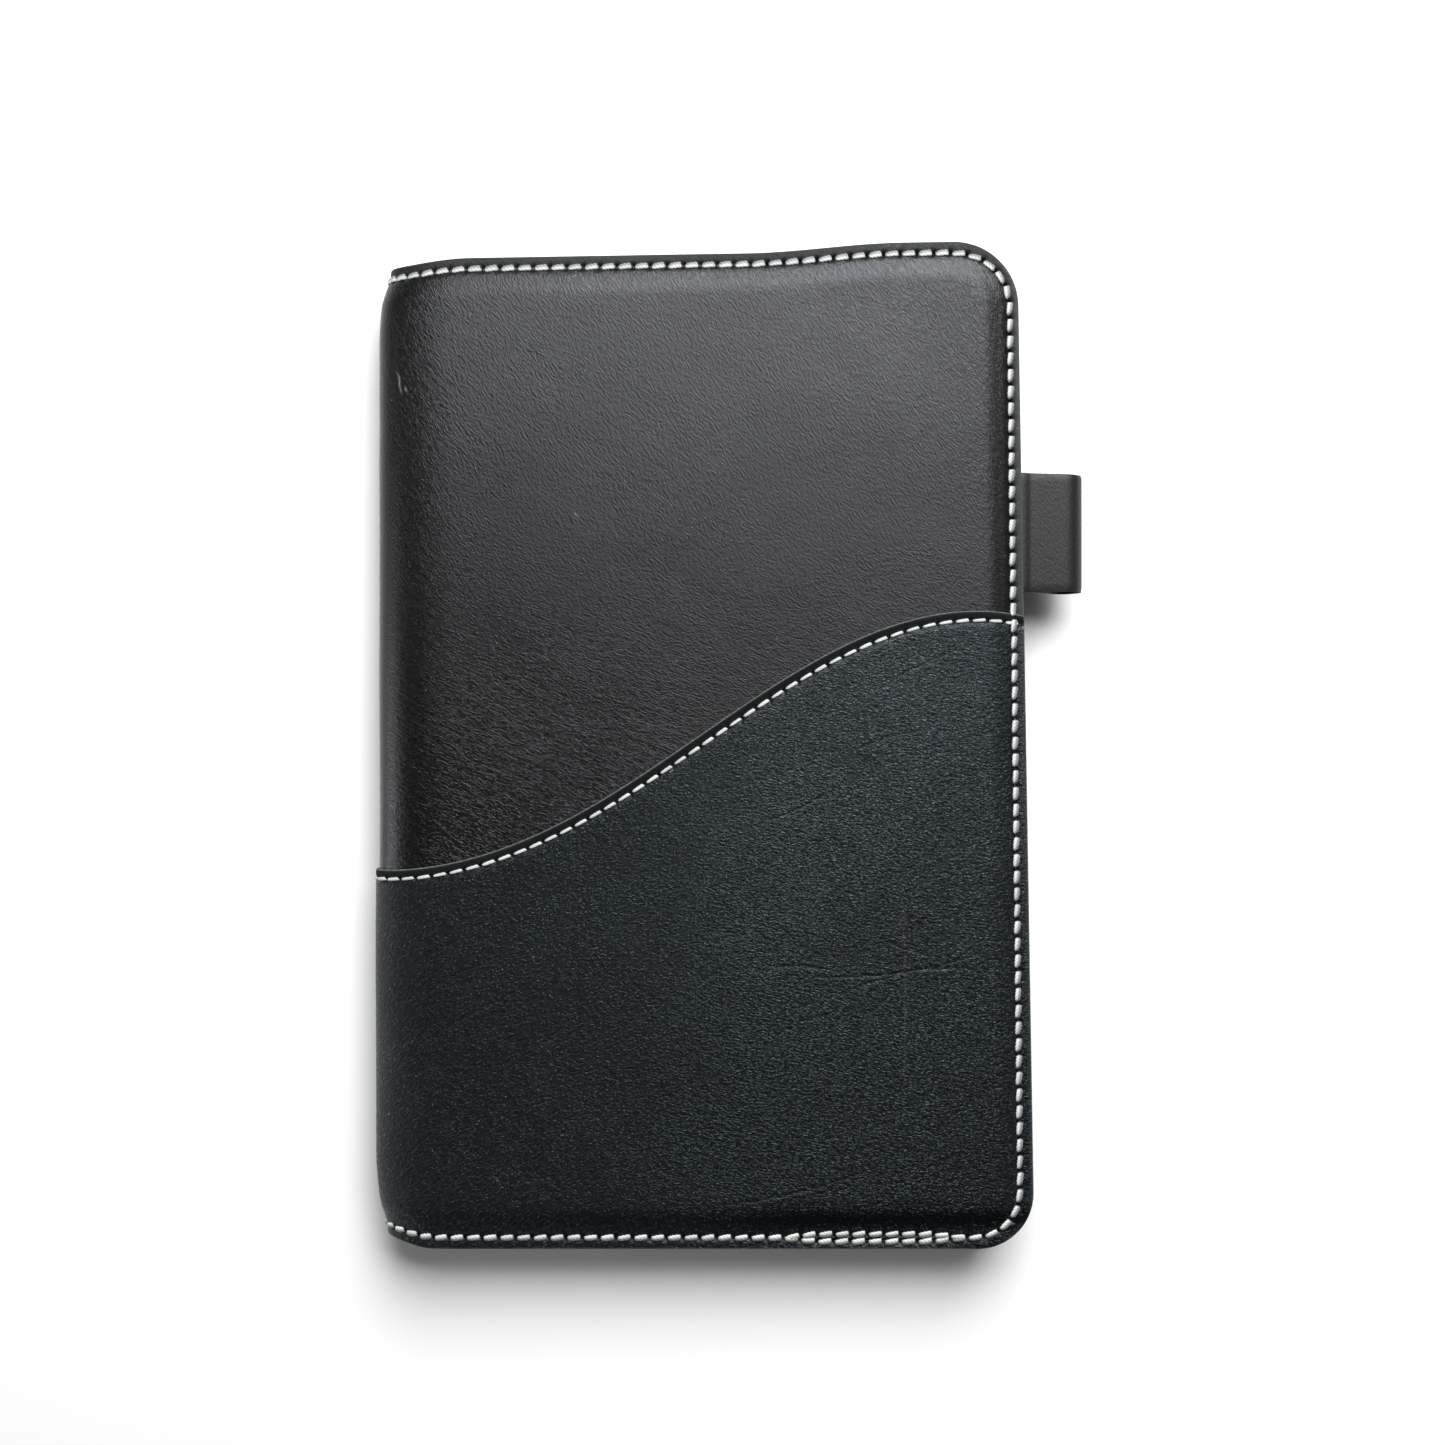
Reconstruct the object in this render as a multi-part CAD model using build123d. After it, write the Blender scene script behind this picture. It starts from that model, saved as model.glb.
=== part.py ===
"""Leather notebook cover, closed round a case-bound notebook and lying on its back cover.

A full-size sheet of leather wraps the back, the spine and the front. A second, thicker-grained panel with
a wave-shaped top edge is lapped over its lower half, a lining and two pocket sleeves face the inside, and
one row of stitching joins the layers along the edge. A folded strap at the fore edge holds a pen. The
boards of a 130 x 210 mm notebook slip into the two sleeves.

Frame: +X from the spine to the fore edge, +Y from tail to head, +Z from the back cover to the front
cover. The origin is under the middle of the whole object, pen loop included. Millimetres.
Three rigid bodies: the back cover with the notebook's block, the spine, and the front cover.
"""
import math
import os

from build123d import *

# ---- driving dimensions -------------------------------------------------------------------------
COVER_WIDTH = 144.5        # closed, spine to fore edge
COVER_HEIGHT = 222.0       # tail to head
CORNER_RADIUS = 13.0       # of the two corners at the fore edge
LOOP_REACH = 12.2          # how far the pen loop stands out of the fore edge

PANEL = 0.8                # thickness of the lower, wave-edged panel
LEATHER = 1.2              # of the main leather
LINING = 0.6
SLEEVE = 0.8
BOARD = 1.4                # notebook boards
SLIP = 0.1                 # room round a board in its sleeve
RUNNING_GAP = 0.3          # between pieces that move apart
BLOCK = 8.9                # thickness of the pages where the sleeves lie over and under them

WAVE_LOW = -27.7           # height of the panel's top edge at the spine
WAVE_HIGH = 30.1           # at its crest near the fore edge
WAVE_RUN = 135.4           # from the spine to that crest
WAVE_SKEW = 1.09           # over 1 holds the low end down for longer

STITCH_INSET = 2.3         # from the cut edge to the middle of the row
THREAD_WIDTH = 0.8
THREAD_DEPTH = 0.5         # how deep the row lies in the leather
BACKTACK_FROM, BACKTACK_TO = 89.4, 131.8   # the doubled row at the tail, from the spine
BACKTACK_INSET = 3.9

SLEEVE_REACH = 60.0        # from the fore edge to the sleeve's free edge
SLEEVE_RIM = 4.5           # width of the sewn rim that closes a sleeve on three sides

BOARD_WIDTH, BOARD_HEIGHT, BOARD_RADIUS = 130.0, 210.0, 8.0
BOARD_FROM_SPINE = 8.5     # the cover's spine stands this far off the notebook's
CASE_SPINE = 1.0           # thickness of the notebook's own spine strip
PAGE_WIDTH, PAGE_HEIGHT, PAGE_RADIUS = 127.0, 207.0, 7.0
BACKING_CLOTH = 0.4
BAND = 1.4                 # height and depth of the head and tail bands

LOOP_LEATHER = 0.8
LOOP_LOW, LOOP_HIGH = 34.6, 61.3   # along the fore edge
LOOP_DROP = 8.6            # outside height of the loop
LOOP_TAIL = 6.0            # length of its two tails inside the seam

# ---- levels and places that follow from them ----------------------------------------------------
STACK = PANEL + LEATHER + LINING                         # everything outside the notebook
FRONT_SLEEVE = STACK + SLIP + BOARD + SLIP               # depth at which a sleeve starts
THICKNESS = 2 * (FRONT_SLEEVE + SLEEVE) + BLOCK + RUNNING_GAP

X_SPINE = -(COVER_WIDTH + LOOP_REACH) / 2
X_EDGE = X_SPINE + COVER_WIDTH
X_FOLD = X_SPINE + STACK                                 # both fold lines
X_COVER = X_FOLD + RUNNING_GAP                           # where the flat covers start
X_BOARD = X_SPINE + BOARD_FROM_SPINE
X_PAGES = X_BOARD + CASE_SPINE + RUNNING_GAP + BACKING_CLOTH
X_SLEEVE = X_EDGE - SLEEVE_REACH
Z_FOLD_BACK, Z_FOLD_FRONT = STACK, THICKNESS - STACK


# ---- outlines -----------------------------------------------------------------------------------
def cover_outline(x_left, inset=0.0, radius=CORNER_RADIUS):
    """A cover's flat shape from x_left to the fore edge, with its two outer corners rounded."""
    x_right, half = X_EDGE - inset, COVER_HEIGHT / 2 - inset
    sheet = Pos((x_left + x_right) / 2, 0) * Rectangle(x_right - x_left, 2 * half)
    outer = sheet.vertices().filter_by_position(Axis.X, x_right - 0.01, x_right + 0.01)
    return fillet(outer, radius - inset)


def wave(x, drop=0.0):
    """The height of the panel's top edge at x, or of a line that lies drop below it."""
    along = max(0.0, (x - X_SPINE) / WAVE_RUN)
    rise = (1 - math.cos(math.pi * along**WAVE_SKEW)) / 2
    slope = (wave(x + 0.5) - wave(x - 0.5)) if drop else 0.0
    return WAVE_LOW + (WAVE_HIGH - WAVE_LOW) * rise - drop * math.hypot(1, slope)


def wave_line(x_from, x_to, drop):
    """The wave as a smooth curve between two places along the cover."""
    spans = 12
    step = (x_to - x_from) / spans
    return Spline(*[(x_from + i * step, wave(x_from + i * step, drop)) for i in range(spans + 1)])


def below_wave(x_left, drop=0.0):
    """The area under the wave, wider than the cover on the other sides."""
    x_right, floor = X_EDGE + 1, -COVER_HEIGHT
    top = wave_line(x_left, x_right, drop)
    sides = Polyline(top @ 1, (x_right, floor), (x_left, floor), top @ 0)
    return make_face(Wire(top.edges() + sides.edges()))


def edge_row(x_left, half=THREAD_WIDTH / 2):
    """The strip that the edge stitching fills, open on the side of the spine."""
    outer = cover_outline(x_left, STITCH_INSET - half)
    inner = cover_outline(x_left, STITCH_INSET + half)
    return outer - inner


def wave_row(x_left, x_right):
    """The strip that the panel's stitching fills, one stitch inset below its top edge."""
    high = below_wave(x_left, STITCH_INSET - THREAD_WIDTH / 2)
    low = below_wave(x_left, STITCH_INSET + THREAD_WIDTH / 2)
    middle, width = (x_left + x_right) / 2, x_right - x_left
    return (high - low) & (Pos(middle, 0) * Rectangle(width, COVER_HEIGHT))


def backtack_row():
    """The short second row beside the edge stitching at the tail."""
    middle = X_SPINE + (BACKTACK_FROM + BACKTACK_TO) / 2
    y = -COVER_HEIGHT / 2 + BACKTACK_INSET
    return Pos(middle, y) * Rectangle(BACKTACK_TO - BACKTACK_FROM, THREAD_WIDTH)


def slab(face, z_low, z_high):
    """A flat piece between two levels."""
    return extrude(Pos(0, 0, z_low) * face, amount=z_high - z_low)


def bar(x_low, x_high, y_low, y_high, z_low, z_high):
    """A plain straight piece between two corners."""
    size = (x_high - x_low, y_high - y_low, z_high - z_low)
    return Pos((x_low + x_high) / 2, (y_low + y_high) / 2, (z_low + z_high) / 2) * Box(*size)


# ---- one cover, built with its outer face down at z = 0 -----------------------------------------
def cover_layers(with_backtack):
    """The leather, panel, lining, sleeve and threads of one cover."""
    z_leather, z_lining, z_pocket = PANEL, PANEL + LEATHER, STACK
    z_sleeve = FRONT_SLEEVE
    beyond = X_COVER - 5
    outline = cover_outline(X_COVER)
    lower = outline & below_wave(beyond)
    row = edge_row(X_COVER)
    row_low, row_high = row & below_wave(beyond), row - below_wave(beyond)
    panel_row = wave_row(X_COVER, X_EDGE - STITCH_INSET - THREAD_WIDTH / 2)

    leather = slab(outline, z_leather, z_lining) - slab(row_high, z_leather, z_leather + THREAD_DEPTH)
    panel = slab(lower, 0, PANEL) - slab(row_low, 0, THREAD_DEPTH) - slab(panel_row, 0, THREAD_DEPTH)
    edge_thread = slab(row_low, 0, THREAD_DEPTH) + slab(row_high, z_leather, z_leather + THREAD_DEPTH)
    pieces = {
        "lining": slab(outline, z_lining, z_pocket),
        "sleeve": sleeve_sheet(z_pocket, z_sleeve),
        "panel_thread": slab(panel_row, 0, THREAD_DEPTH),
        "inner_thread": inner_row(z_pocket, z_sleeve + SLEEVE),
    }
    if with_backtack:
        tack = slab(backtack_row(), 0, THREAD_DEPTH)
        panel = panel - tack
        pieces["backtack_thread"] = tack
    pieces.update(outer_leather=leather, lower_panel=panel, edge_thread=edge_thread)
    return pieces


def sleeve_sheet(z_lining_face, z_sleeve):
    """The pocket sheet, with the rim that is sewn down on three sides and open towards the spine."""
    sheet = slab(cover_outline(X_SLEEVE), z_sleeve, z_sleeve + SLEEVE)
    inside = cover_outline(X_SLEEVE - 1, SLEEVE_RIM, CORNER_RADIUS)
    rim = cover_outline(X_SLEEVE) - inside
    return sheet + slab(rim, z_lining_face, z_sleeve)


def inner_row(z_lining_face, z_sleeve_face):
    """The underside of the edge stitching: on the lining near the spine and on the sleeve beyond."""
    row = edge_row(X_COVER)
    near = Pos((X_COVER + X_SLEEVE) / 2, 0) * Rectangle(X_SLEEVE - X_COVER, COVER_HEIGHT)
    on_lining = slab(row & near, z_lining_face, z_lining_face + THREAD_DEPTH)
    return on_lining + slab(row - near, z_sleeve_face, z_sleeve_face + THREAD_DEPTH)


def turned_over(shape):
    """The same piece for the other cover: mirrored about the mid plane of the closed object."""
    return Pos(0, 0, THICKNESS) * mirror(shape, about=Plane.XY)


# ---- the spine ----------------------------------------------------------------------------------
def spine_layers():
    """The upright strip between the two fold lines, in the same three layers."""
    low, high, half = Z_FOLD_BACK, Z_FOLD_FRONT, COVER_HEIGHT / 2
    x_panel, x_leather, x_lining = X_SPINE, X_SPINE + PANEL, X_SPINE + PANEL + LEATHER
    head = half - STITCH_INSET
    rows = {"head": (head, x_leather), "tail": (-head, x_panel),
            "panel": (WAVE_LOW - STITCH_INSET, x_panel)}
    thread = {}
    for name, (y, x) in rows.items():
        y_low, y_high = y - THREAD_WIDTH / 2, y + THREAD_WIDTH / 2
        thread[name] = bar(x, x + THREAD_DEPTH, y_low, y_high, low, high)
    inner = [bar(X_FOLD, X_FOLD + THREAD_DEPTH, y - THREAD_WIDTH / 2, y + THREAD_WIDTH / 2,
                 low + 2 * RUNNING_GAP, high - 2 * RUNNING_GAP) for y in (-head, head)]
    return {
        "spine_outer_leather": bar(x_leather, x_lining, -half, half, low, high) - thread["head"],
        "spine_lower_panel": bar(x_panel, x_leather, -half, WAVE_LOW, low, high)
        - thread["tail"] - thread["panel"],
        "spine_lining": bar(x_lining, X_FOLD, -half, half, low, high),
        "spine_edge_thread": Compound(children=[thread["head"], thread["tail"], *inner]),
        "spine_panel_thread": thread["panel"],
    }


# ---- the pen loop, on the front cover -----------------------------------------------------------
def loop_outline(ply, x_start, x_meet, z_meet, leaving):
    """A drop shape on its side, ply inside the strap's outer face: flat top, round nose, rising floor."""
    top = Z_FOLD_FRONT - ply
    radius = LOOP_DROP / 2 - ply
    x_bend = X_EDGE + LOOP_REACH - LOOP_DROP / 2
    roof = Line((x_start, top), (x_bend, top))
    nose = JernArc(roof @ 1, (1, 0), radius, -180)
    floor = Spline(nose @ 1, (x_meet, z_meet), tangents=[(-1, 0), leaving])
    edges = [roof.edge(), nose.edge(), floor.edge()]
    if x_meet > x_start:
        edges += Polyline(floor @ 1, (x_start, z_meet), (x_start, top)).edges()
    return make_face(Wire(edges))


def pen_loop():
    """One strap folded on itself, its two tails face to face inside the seam."""
    z_tails = Z_FOLD_FRONT - 2 * LOOP_LEATHER
    outside = loop_outline(0, X_EDGE - LOOP_TAIL, X_EDGE + RUNNING_GAP, z_tails, (-1, 0))
    x_meet = X_EDGE + 2 * RUNNING_GAP
    inside = loop_outline(LOOP_LEATHER, x_meet, x_meet, Z_FOLD_FRONT - LOOP_LEATHER, (-1, 0.5))
    across = Plane.XZ.offset(-LOOP_LOW)
    return extrude(across * (outside - inside), amount=-(LOOP_HIGH - LOOP_LOW))


# ---- the notebook -------------------------------------------------------------------------------
def rounded_leaf(x_left, width, height, radius):
    """A board or page: square at the spine, round at the fore edge."""
    leaf = Pos(x_left + width / 2, 0) * Rectangle(width, height)
    outer = leaf.vertices().filter_by_position(Axis.X, x_left + width - 0.01, x_left + width + 0.01)
    return fillet(outer, radius)


def notebook():
    """Two boards, the case spine between them, and the sewn block with its cloth and bands."""
    board = rounded_leaf(X_BOARD, BOARD_WIDTH, BOARD_HEIGHT, BOARD_RADIUS)
    z_board, z_board_face = STACK + SLIP, STACK + SLIP + BOARD
    back_board = slab(board, z_board, z_board_face)
    z_low, z_high = FRONT_SLEEVE + SLEEVE, FRONT_SLEEVE + SLEEVE + BLOCK
    z_thick = THICKNESS - z_board_face - RUNNING_GAP
    pages = slab(rounded_leaf(X_PAGES, PAGE_WIDTH, PAGE_HEIGHT, PAGE_RADIUS), z_low, z_high)
    half = PAGE_HEIGHT / 2
    near_spine = bar(X_PAGES, X_SLEEVE - 1, -half, half, z_board_face, z_thick)
    x_cloth = X_PAGES - BACKING_CLOTH
    strip_low, strip_high = z_board_face + RUNNING_GAP, THICKNESS - z_board_face - RUNNING_GAP
    bands = {}
    for name, y in (("notebook_head_band", half), ("notebook_tail_band", -half - BAND)):
        bands[name] = bar(x_cloth, x_cloth + BAND, y, y + BAND, z_low, z_high)
    return {
        "notebook_back_board": back_board,
        "notebook_front_board": turned_over(back_board),
        "notebook_spine_strip": bar(X_BOARD, X_BOARD + CASE_SPINE, -BOARD_HEIGHT / 2,
                                    BOARD_HEIGHT / 2, strip_low, strip_high),
        "notebook_text_block": pages + near_spine,
        "notebook_backing_cloth": bar(x_cloth, X_PAGES, -half, half, z_board_face, z_thick),
        **bands,
    }


# ---- the whole object ---------------------------------------------------------------------------
def front_sleeve_with_notch(sleeve):
    """The front sleeve's rim makes room for the pen loop's tails."""
    notch = bar(X_EDGE - LOOP_TAIL, X_EDGE + 1, LOOP_LOW, LOOP_HIGH,
                Z_FOLD_FRONT - 2 * LOOP_LEATHER, Z_FOLD_FRONT)
    return sleeve - notch


def build():
    """Every named piece of the object."""
    parts = {f"back_{name}": piece for name, piece in cover_layers(with_backtack=False).items()}
    for name, piece in cover_layers(with_backtack=True).items():
        parts[f"front_{name}"] = turned_over(piece)
    parts["front_sleeve"] = front_sleeve_with_notch(parts["front_sleeve"])
    parts.update(spine_layers())
    parts["pen_loop"] = pen_loop()
    parts.update(notebook())
    return parts


if __name__ == "__main__":
    os.makedirs("parts", exist_ok=True)
    for node, shape in build().items():
        export_step(shape, f"parts/{node}.step")
    print("thickness", round(THICKNESS, 2), "folds at", round(X_FOLD, 2), round(Z_FOLD_BACK, 2),
          round(Z_FOLD_FRONT, 2), "fore edge", round(X_EDGE, 2))
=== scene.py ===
import math
import random

import bpy
import numpy as np
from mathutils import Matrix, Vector, geometry, kdtree, noise


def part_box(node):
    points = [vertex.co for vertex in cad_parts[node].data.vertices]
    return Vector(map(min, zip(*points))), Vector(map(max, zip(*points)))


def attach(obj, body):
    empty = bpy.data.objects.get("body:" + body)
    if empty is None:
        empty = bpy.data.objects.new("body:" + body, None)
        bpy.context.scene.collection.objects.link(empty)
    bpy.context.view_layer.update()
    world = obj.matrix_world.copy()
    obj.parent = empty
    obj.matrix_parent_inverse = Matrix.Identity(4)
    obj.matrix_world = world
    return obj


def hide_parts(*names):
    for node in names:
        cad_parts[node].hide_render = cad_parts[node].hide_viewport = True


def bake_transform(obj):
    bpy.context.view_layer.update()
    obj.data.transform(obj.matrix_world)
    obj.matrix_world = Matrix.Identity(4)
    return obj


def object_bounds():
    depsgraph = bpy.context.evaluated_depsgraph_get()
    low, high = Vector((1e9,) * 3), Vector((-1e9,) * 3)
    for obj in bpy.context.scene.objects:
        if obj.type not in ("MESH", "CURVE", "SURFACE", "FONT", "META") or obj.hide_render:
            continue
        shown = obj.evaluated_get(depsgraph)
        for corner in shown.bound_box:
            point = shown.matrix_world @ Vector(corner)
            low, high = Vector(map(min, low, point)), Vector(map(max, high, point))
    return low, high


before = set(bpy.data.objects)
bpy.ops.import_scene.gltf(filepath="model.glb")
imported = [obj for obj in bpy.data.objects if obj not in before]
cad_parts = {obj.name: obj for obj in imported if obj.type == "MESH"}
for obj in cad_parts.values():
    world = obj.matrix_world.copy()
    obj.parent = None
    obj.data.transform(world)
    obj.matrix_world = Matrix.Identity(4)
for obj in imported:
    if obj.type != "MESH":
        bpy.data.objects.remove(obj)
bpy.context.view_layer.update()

# ---- The text block: sewn sections of cream paper, cut square at the spine and rounded at the fore
# edge. The sleeves press it a little thinner over the outer two fifths of its width.
MM = 0.001


def span(node):
    """A frame node's lowest and highest corners in millimetres."""
    low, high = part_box(node)
    return np.array(low) / MM, np.array(high) / MM


def smooth(value, start, end):
    """0 before start, 1 after end, and eased between them."""
    t = np.clip((np.asarray(value, float) - start) / (end - start), 0, 1)
    return t * t * (3 - 2 * t)


def finished(name, verts, faces, skins, bend_limit=40):
    """A piece from its points in millimetres; skins holds its materials and each face's choice."""
    mesh = bpy.data.meshes.new(name)
    mesh.from_pydata((np.asarray(verts) * MM).tolist(), [], faces)
    materials, choice = skins
    for material in materials:
        mesh.materials.append(material)
    mesh.polygons.foreach_set("material_index", choice)
    mesh.polygons.foreach_set("use_smooth", [True] * len(faces))
    mesh.set_sharp_from_angle(angle=math.radians(bend_limit))
    mesh.update()
    piece = bpy.data.objects.new(name, mesh)
    bpy.context.scene.collection.objects.link(piece)
    return piece


def new_material(name):
    """A node material with its shader, ready for the section's own nodes."""
    material = bpy.data.materials.new(name)
    material.use_nodes = True
    shader = material.node_tree.nodes["Principled BSDF"]
    return material, material.node_tree, shader


def node(tree, kind, links=(), **settings):
    """A node with its settings, and its inputs linked or set by name or number."""
    made = tree.nodes.new(kind)
    for key, value in settings.items():
        setattr(made, key, value)
    for key, value in dict(links).items():
        if isinstance(value, bpy.types.NodeSocket):
            tree.links.new(value, made.inputs[key])
        else:
            made.inputs[key].default_value = value
    return made


def maths(tree, operation, *values):
    """One step of arithmetic on sockets or numbers."""
    return node(tree, "ShaderNodeMath", enumerate(values), operation=operation).outputs[0]


def ramp(tree, value, low, high, to_low=0.0, to_high=1.0):
    """The stretch of a value from low to high, eased and spread over to_low to to_high."""
    links = {"Value": value, "From Min": low, "From Max": high, "To Min": to_low, "To Max": to_high}
    return node(tree, "ShaderNodeMapRange", links, interpolation_type="SMOOTHSTEP").outputs[0]


def mixed(tree, share, first, second):
    """One colour turning into another."""
    links = {"Factor": share, 6: first, 7: second}
    return node(tree, "ShaderNodeMix", links, data_type="RGBA").outputs[2]


def bumped(tree, height, distance, under=None):
    """A surface normal raised by a height, at most distance metres proud, over a finer one if given."""
    links = {"Height": height, "Distance": distance}
    if under:
        links["Normal"] = under
    return node(tree, "ShaderNodeBump", links).outputs[0]


def leaf_solid(name, x_range, half, radius, floor, roof, rim, skins):
    """A board or block: a grid square at the spine and rounded at the fore edge, between floor(x) and
    roof(x). rim lists (share of the height, inset) down its edge."""
    x_low, x_high = x_range
    turn = np.linspace(0, math.pi / 2, 9)
    level = np.linspace(x_low, x_high - radius, 34)[:-1]
    columns = np.concatenate([level, x_high - radius + radius * np.sin(turn)])
    past = np.clip(columns - (x_high - radius), 0, radius)
    reach = half - radius + np.sqrt(radius**2 - past**2)
    rows = np.linspace(-1, 1, 41)
    grid = np.array([[(x, r * t) for t in rows] for x, r in zip(columns, reach)])
    m, n = len(columns), len(rows)
    ring = [(i, 0) for i in range(m)] + [(m - 1, j) for j in range(1, n)]
    ring += [(i, n - 1) for i in range(m - 2, -1, -1)] + [(0, j) for j in range(n - 2, 0, -1)]
    loop = np.array([grid[i, j] for i, j in ring])
    ahead, behind = np.roll(loop, -1, 0), np.roll(loop, 1, 0)
    along = ahead - behind
    inward = np.column_stack([-along[:, 1], along[:, 0]]) / np.linalg.norm(along, axis=1)[:, None]
    verts, faces = [], []
    index = {}
    for level, (share, inset) in ((0, rim[0]), (1, rim[-1])):
        moved = dict(zip(ring, loop + inward * inset))
        for i in range(m):
            for j in range(n):
                x, y = moved.get((i, j), grid[i, j])
                z = floor(x) + (roof(x) - floor(x)) * share
                index[level, i, j] = len(verts)
                verts.append((x, y, z))
    for i in range(m - 1):
        for j in range(n - 1):
            quad = [(i, j), (i + 1, j), (i + 1, j + 1), (i, j + 1)]
            faces.append([index[0, a, b] for a, b in reversed(quad)])
            faces.append([index[1, a, b] for a, b in quad])
    rings = [[index[0, i, j] for i, j in ring]]
    for share, inset in rim[1:-1]:
        rings.append(list(range(len(verts), len(verts) + len(ring))))
        for x, y in loop + inward * inset:
            verts.append((x, y, floor(x) + (roof(x) - floor(x)) * share))
    rings.append([index[1, i, j] for i, j in ring])
    caps = len(faces)
    for lower, upper in zip(rings, rings[1:]):
        for k in range(len(ring)):
            k2 = (k + 1) % len(ring)
            faces.append([lower[k], lower[k2], upper[k2], upper[k]])
    choice = [0] * caps + [len(skins) - 1] * (len(faces) - caps)
    return finished(name, verts, faces, (skins, choice))


def paper_faces():
    """Cream uncoated paper, faintly mottled."""
    material, tree, shader = new_material("page_paper")
    place = node(tree, "ShaderNodeTexCoord").outputs["Object"]
    cloud = node(tree, "ShaderNodeTexNoise", {"Vector": place, "Scale": 60.0, "Detail": 6.0}).outputs["Fac"]
    colour = mixed(tree, cloud, (0.80, 0.76, 0.66, 1), (0.88, 0.85, 0.77, 1))
    tree.links.new(colour, shader.inputs["Base Color"])
    tooth = node(tree, "ShaderNodeTexNoise", {"Vector": place, "Scale": 2600.0, "Detail": 3.0}).outputs["Fac"]
    tree.links.new(bumped(tree, tooth, 0.00004), shader.inputs["Normal"])
    shader.inputs["Roughness"].default_value = 0.85
    shader.inputs["Specular IOR Level"].default_value = 0.25
    return material


def paper_edges():
    """The cut edges of the leaves: fine level lines, some in shadow."""
    material, tree, shader = new_material("page_edges")
    place = node(tree, "ShaderNodeTexCoord").outputs["Object"]
    flat = node(tree, "ShaderNodeMapping", {"Vector": place, "Scale": (9.0, 9.0, 5200.0)}).outputs[0]
    leaves = node(tree, "ShaderNodeTexNoise", {"Vector": flat, "Scale": 1.0, "Detail": 2.0}).outputs["Fac"]
    coarse = node(tree, "ShaderNodeMapping", {"Vector": place, "Scale": (25.0, 25.0, 900.0)}).outputs[0]
    groups = node(tree, "ShaderNodeTexNoise", {"Vector": coarse, "Scale": 1.0, "Detail": 2.0}).outputs["Fac"]
    tone = maths(tree, "MULTIPLY", ramp(tree, leaves, 0.3, 0.6), ramp(tree, groups, 0.2, 0.7, 0.55, 1.0))
    colour = mixed(tree, tone, (0.45, 0.41, 0.33, 1), (0.86, 0.82, 0.72, 1))
    tree.links.new(colour, shader.inputs["Base Color"])
    tree.links.new(bumped(tree, leaves, 0.0001), shader.inputs["Normal"])
    shader.inputs["Roughness"].default_value = 0.9
    shader.inputs["Specular IOR Level"].default_value = 0.2
    return material


paper, leaf_edges = paper_faces(), paper_edges()
block_low, block_high = span("notebook_text_block")
sleeve_low = span("front_sleeve")[0]
back_sleeve_top = span("back_sleeve")[1][2]
SECTIONS = 12
PAGE_GAP = 0.3           # between the top page and the front sleeve, which move apart
PRESSED_FROM, PRESSED_TO = sleeve_low[0] - 6, sleeve_low[0] + 1


def block_roof(x):
    """The top page: level with the front sleeve's inner face under it, higher beside the spine."""
    pressed = sleeve_low[2] - PAGE_GAP
    return block_high[2] + (pressed - block_high[2]) * float(smooth(x, PRESSED_FROM, PRESSED_TO))


def block_floor(x):
    """The bottom page, shaped the same way by the back sleeve."""
    return block_low[2] + (back_sleeve_top - block_low[2]) * float(smooth(x, PRESSED_FROM, PRESSED_TO))


sewn = random.Random(7)
page_rim = [(0.0, 0.12)]
for section in range(SECTIONS):
    stand = sewn.uniform(0.0, 0.22)
    for share, dip in ((0.08, 0.10), (0.3, 0.0), (0.7, 0.0), (0.92, 0.10)):
        page_rim.append(((section + share) / SECTIONS, stand + dip))
page_rim.append((1.0, 0.12))
PAGE_CLEAR = 1.6         # the leaves stop short of the boards' edges
PAGE_ROUND = 7.0
page_x, page_half = (block_low[0], block_high[0] - PAGE_CLEAR), block_high[1] - PAGE_CLEAR
text_block = leaf_solid("text_block", page_x, page_half, PAGE_ROUND, block_floor, block_roof, page_rim,
                        [paper, leaf_edges])
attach(text_block, "back_cover")
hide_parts("notebook_text_block")

# ---- The notebook's case: two grey boards covered in black book cloth, with cream paste-downs inside,
# and a narrow strip behind the spine. The back board and strip stay with the block.


def crossed(tree, place, threads, waver, axes):
    """Threads running two ways, the higher one showing."""
    ways = (node(tree, "ShaderNodeTexWave", {"Vector": place, "Scale": threads, "Distortion": waver},
                 bands_direction=axis).outputs["Fac"] for axis in axes)
    return maths(tree, "MAXIMUM", *ways)


def book_cloth():
    """Black starched cloth with a fine plain weave."""
    material, tree, shader = new_material("black_book_cloth")
    place = node(tree, "ShaderNodeTexCoord").outputs["Object"]
    weave = crossed(tree, place, 900.0, 0.6, "XY")
    colour = mixed(tree, weave, (0.008, 0.008, 0.009, 1), (0.03, 0.03, 0.033, 1))
    tree.links.new(colour, shader.inputs["Base Color"])
    tree.links.new(bumped(tree, weave, 0.00006), shader.inputs["Normal"])
    shader.inputs["Roughness"].default_value = 0.7
    return material


cloth = book_cloth()
BOARD_THICK = 1.0
BOARD_SETBACK = 4.0      # the boards stop this far short of the case's spine, for the joint
BOARD_CLEAR = 1.3        # and this far short of the sewn rim
BOARD_ROUND = 8.0
board_low, board_high = span("notebook_front_board")
back_board_low, back_board_high = span("notebook_back_board")
board_rim = [(0.0, 0.35), (0.12, 0.1), (0.3, 0.0), (0.7, 0.0), (0.88, 0.1), (1.0, 0.35)]
PASTE_THICK = 0.12
PASTE_SUNK = 0.03        # the pasted paper is pressed this far into the cloth
PASTE_MARGIN, PASTE_ROUND = 2.5, 6.0


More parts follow.
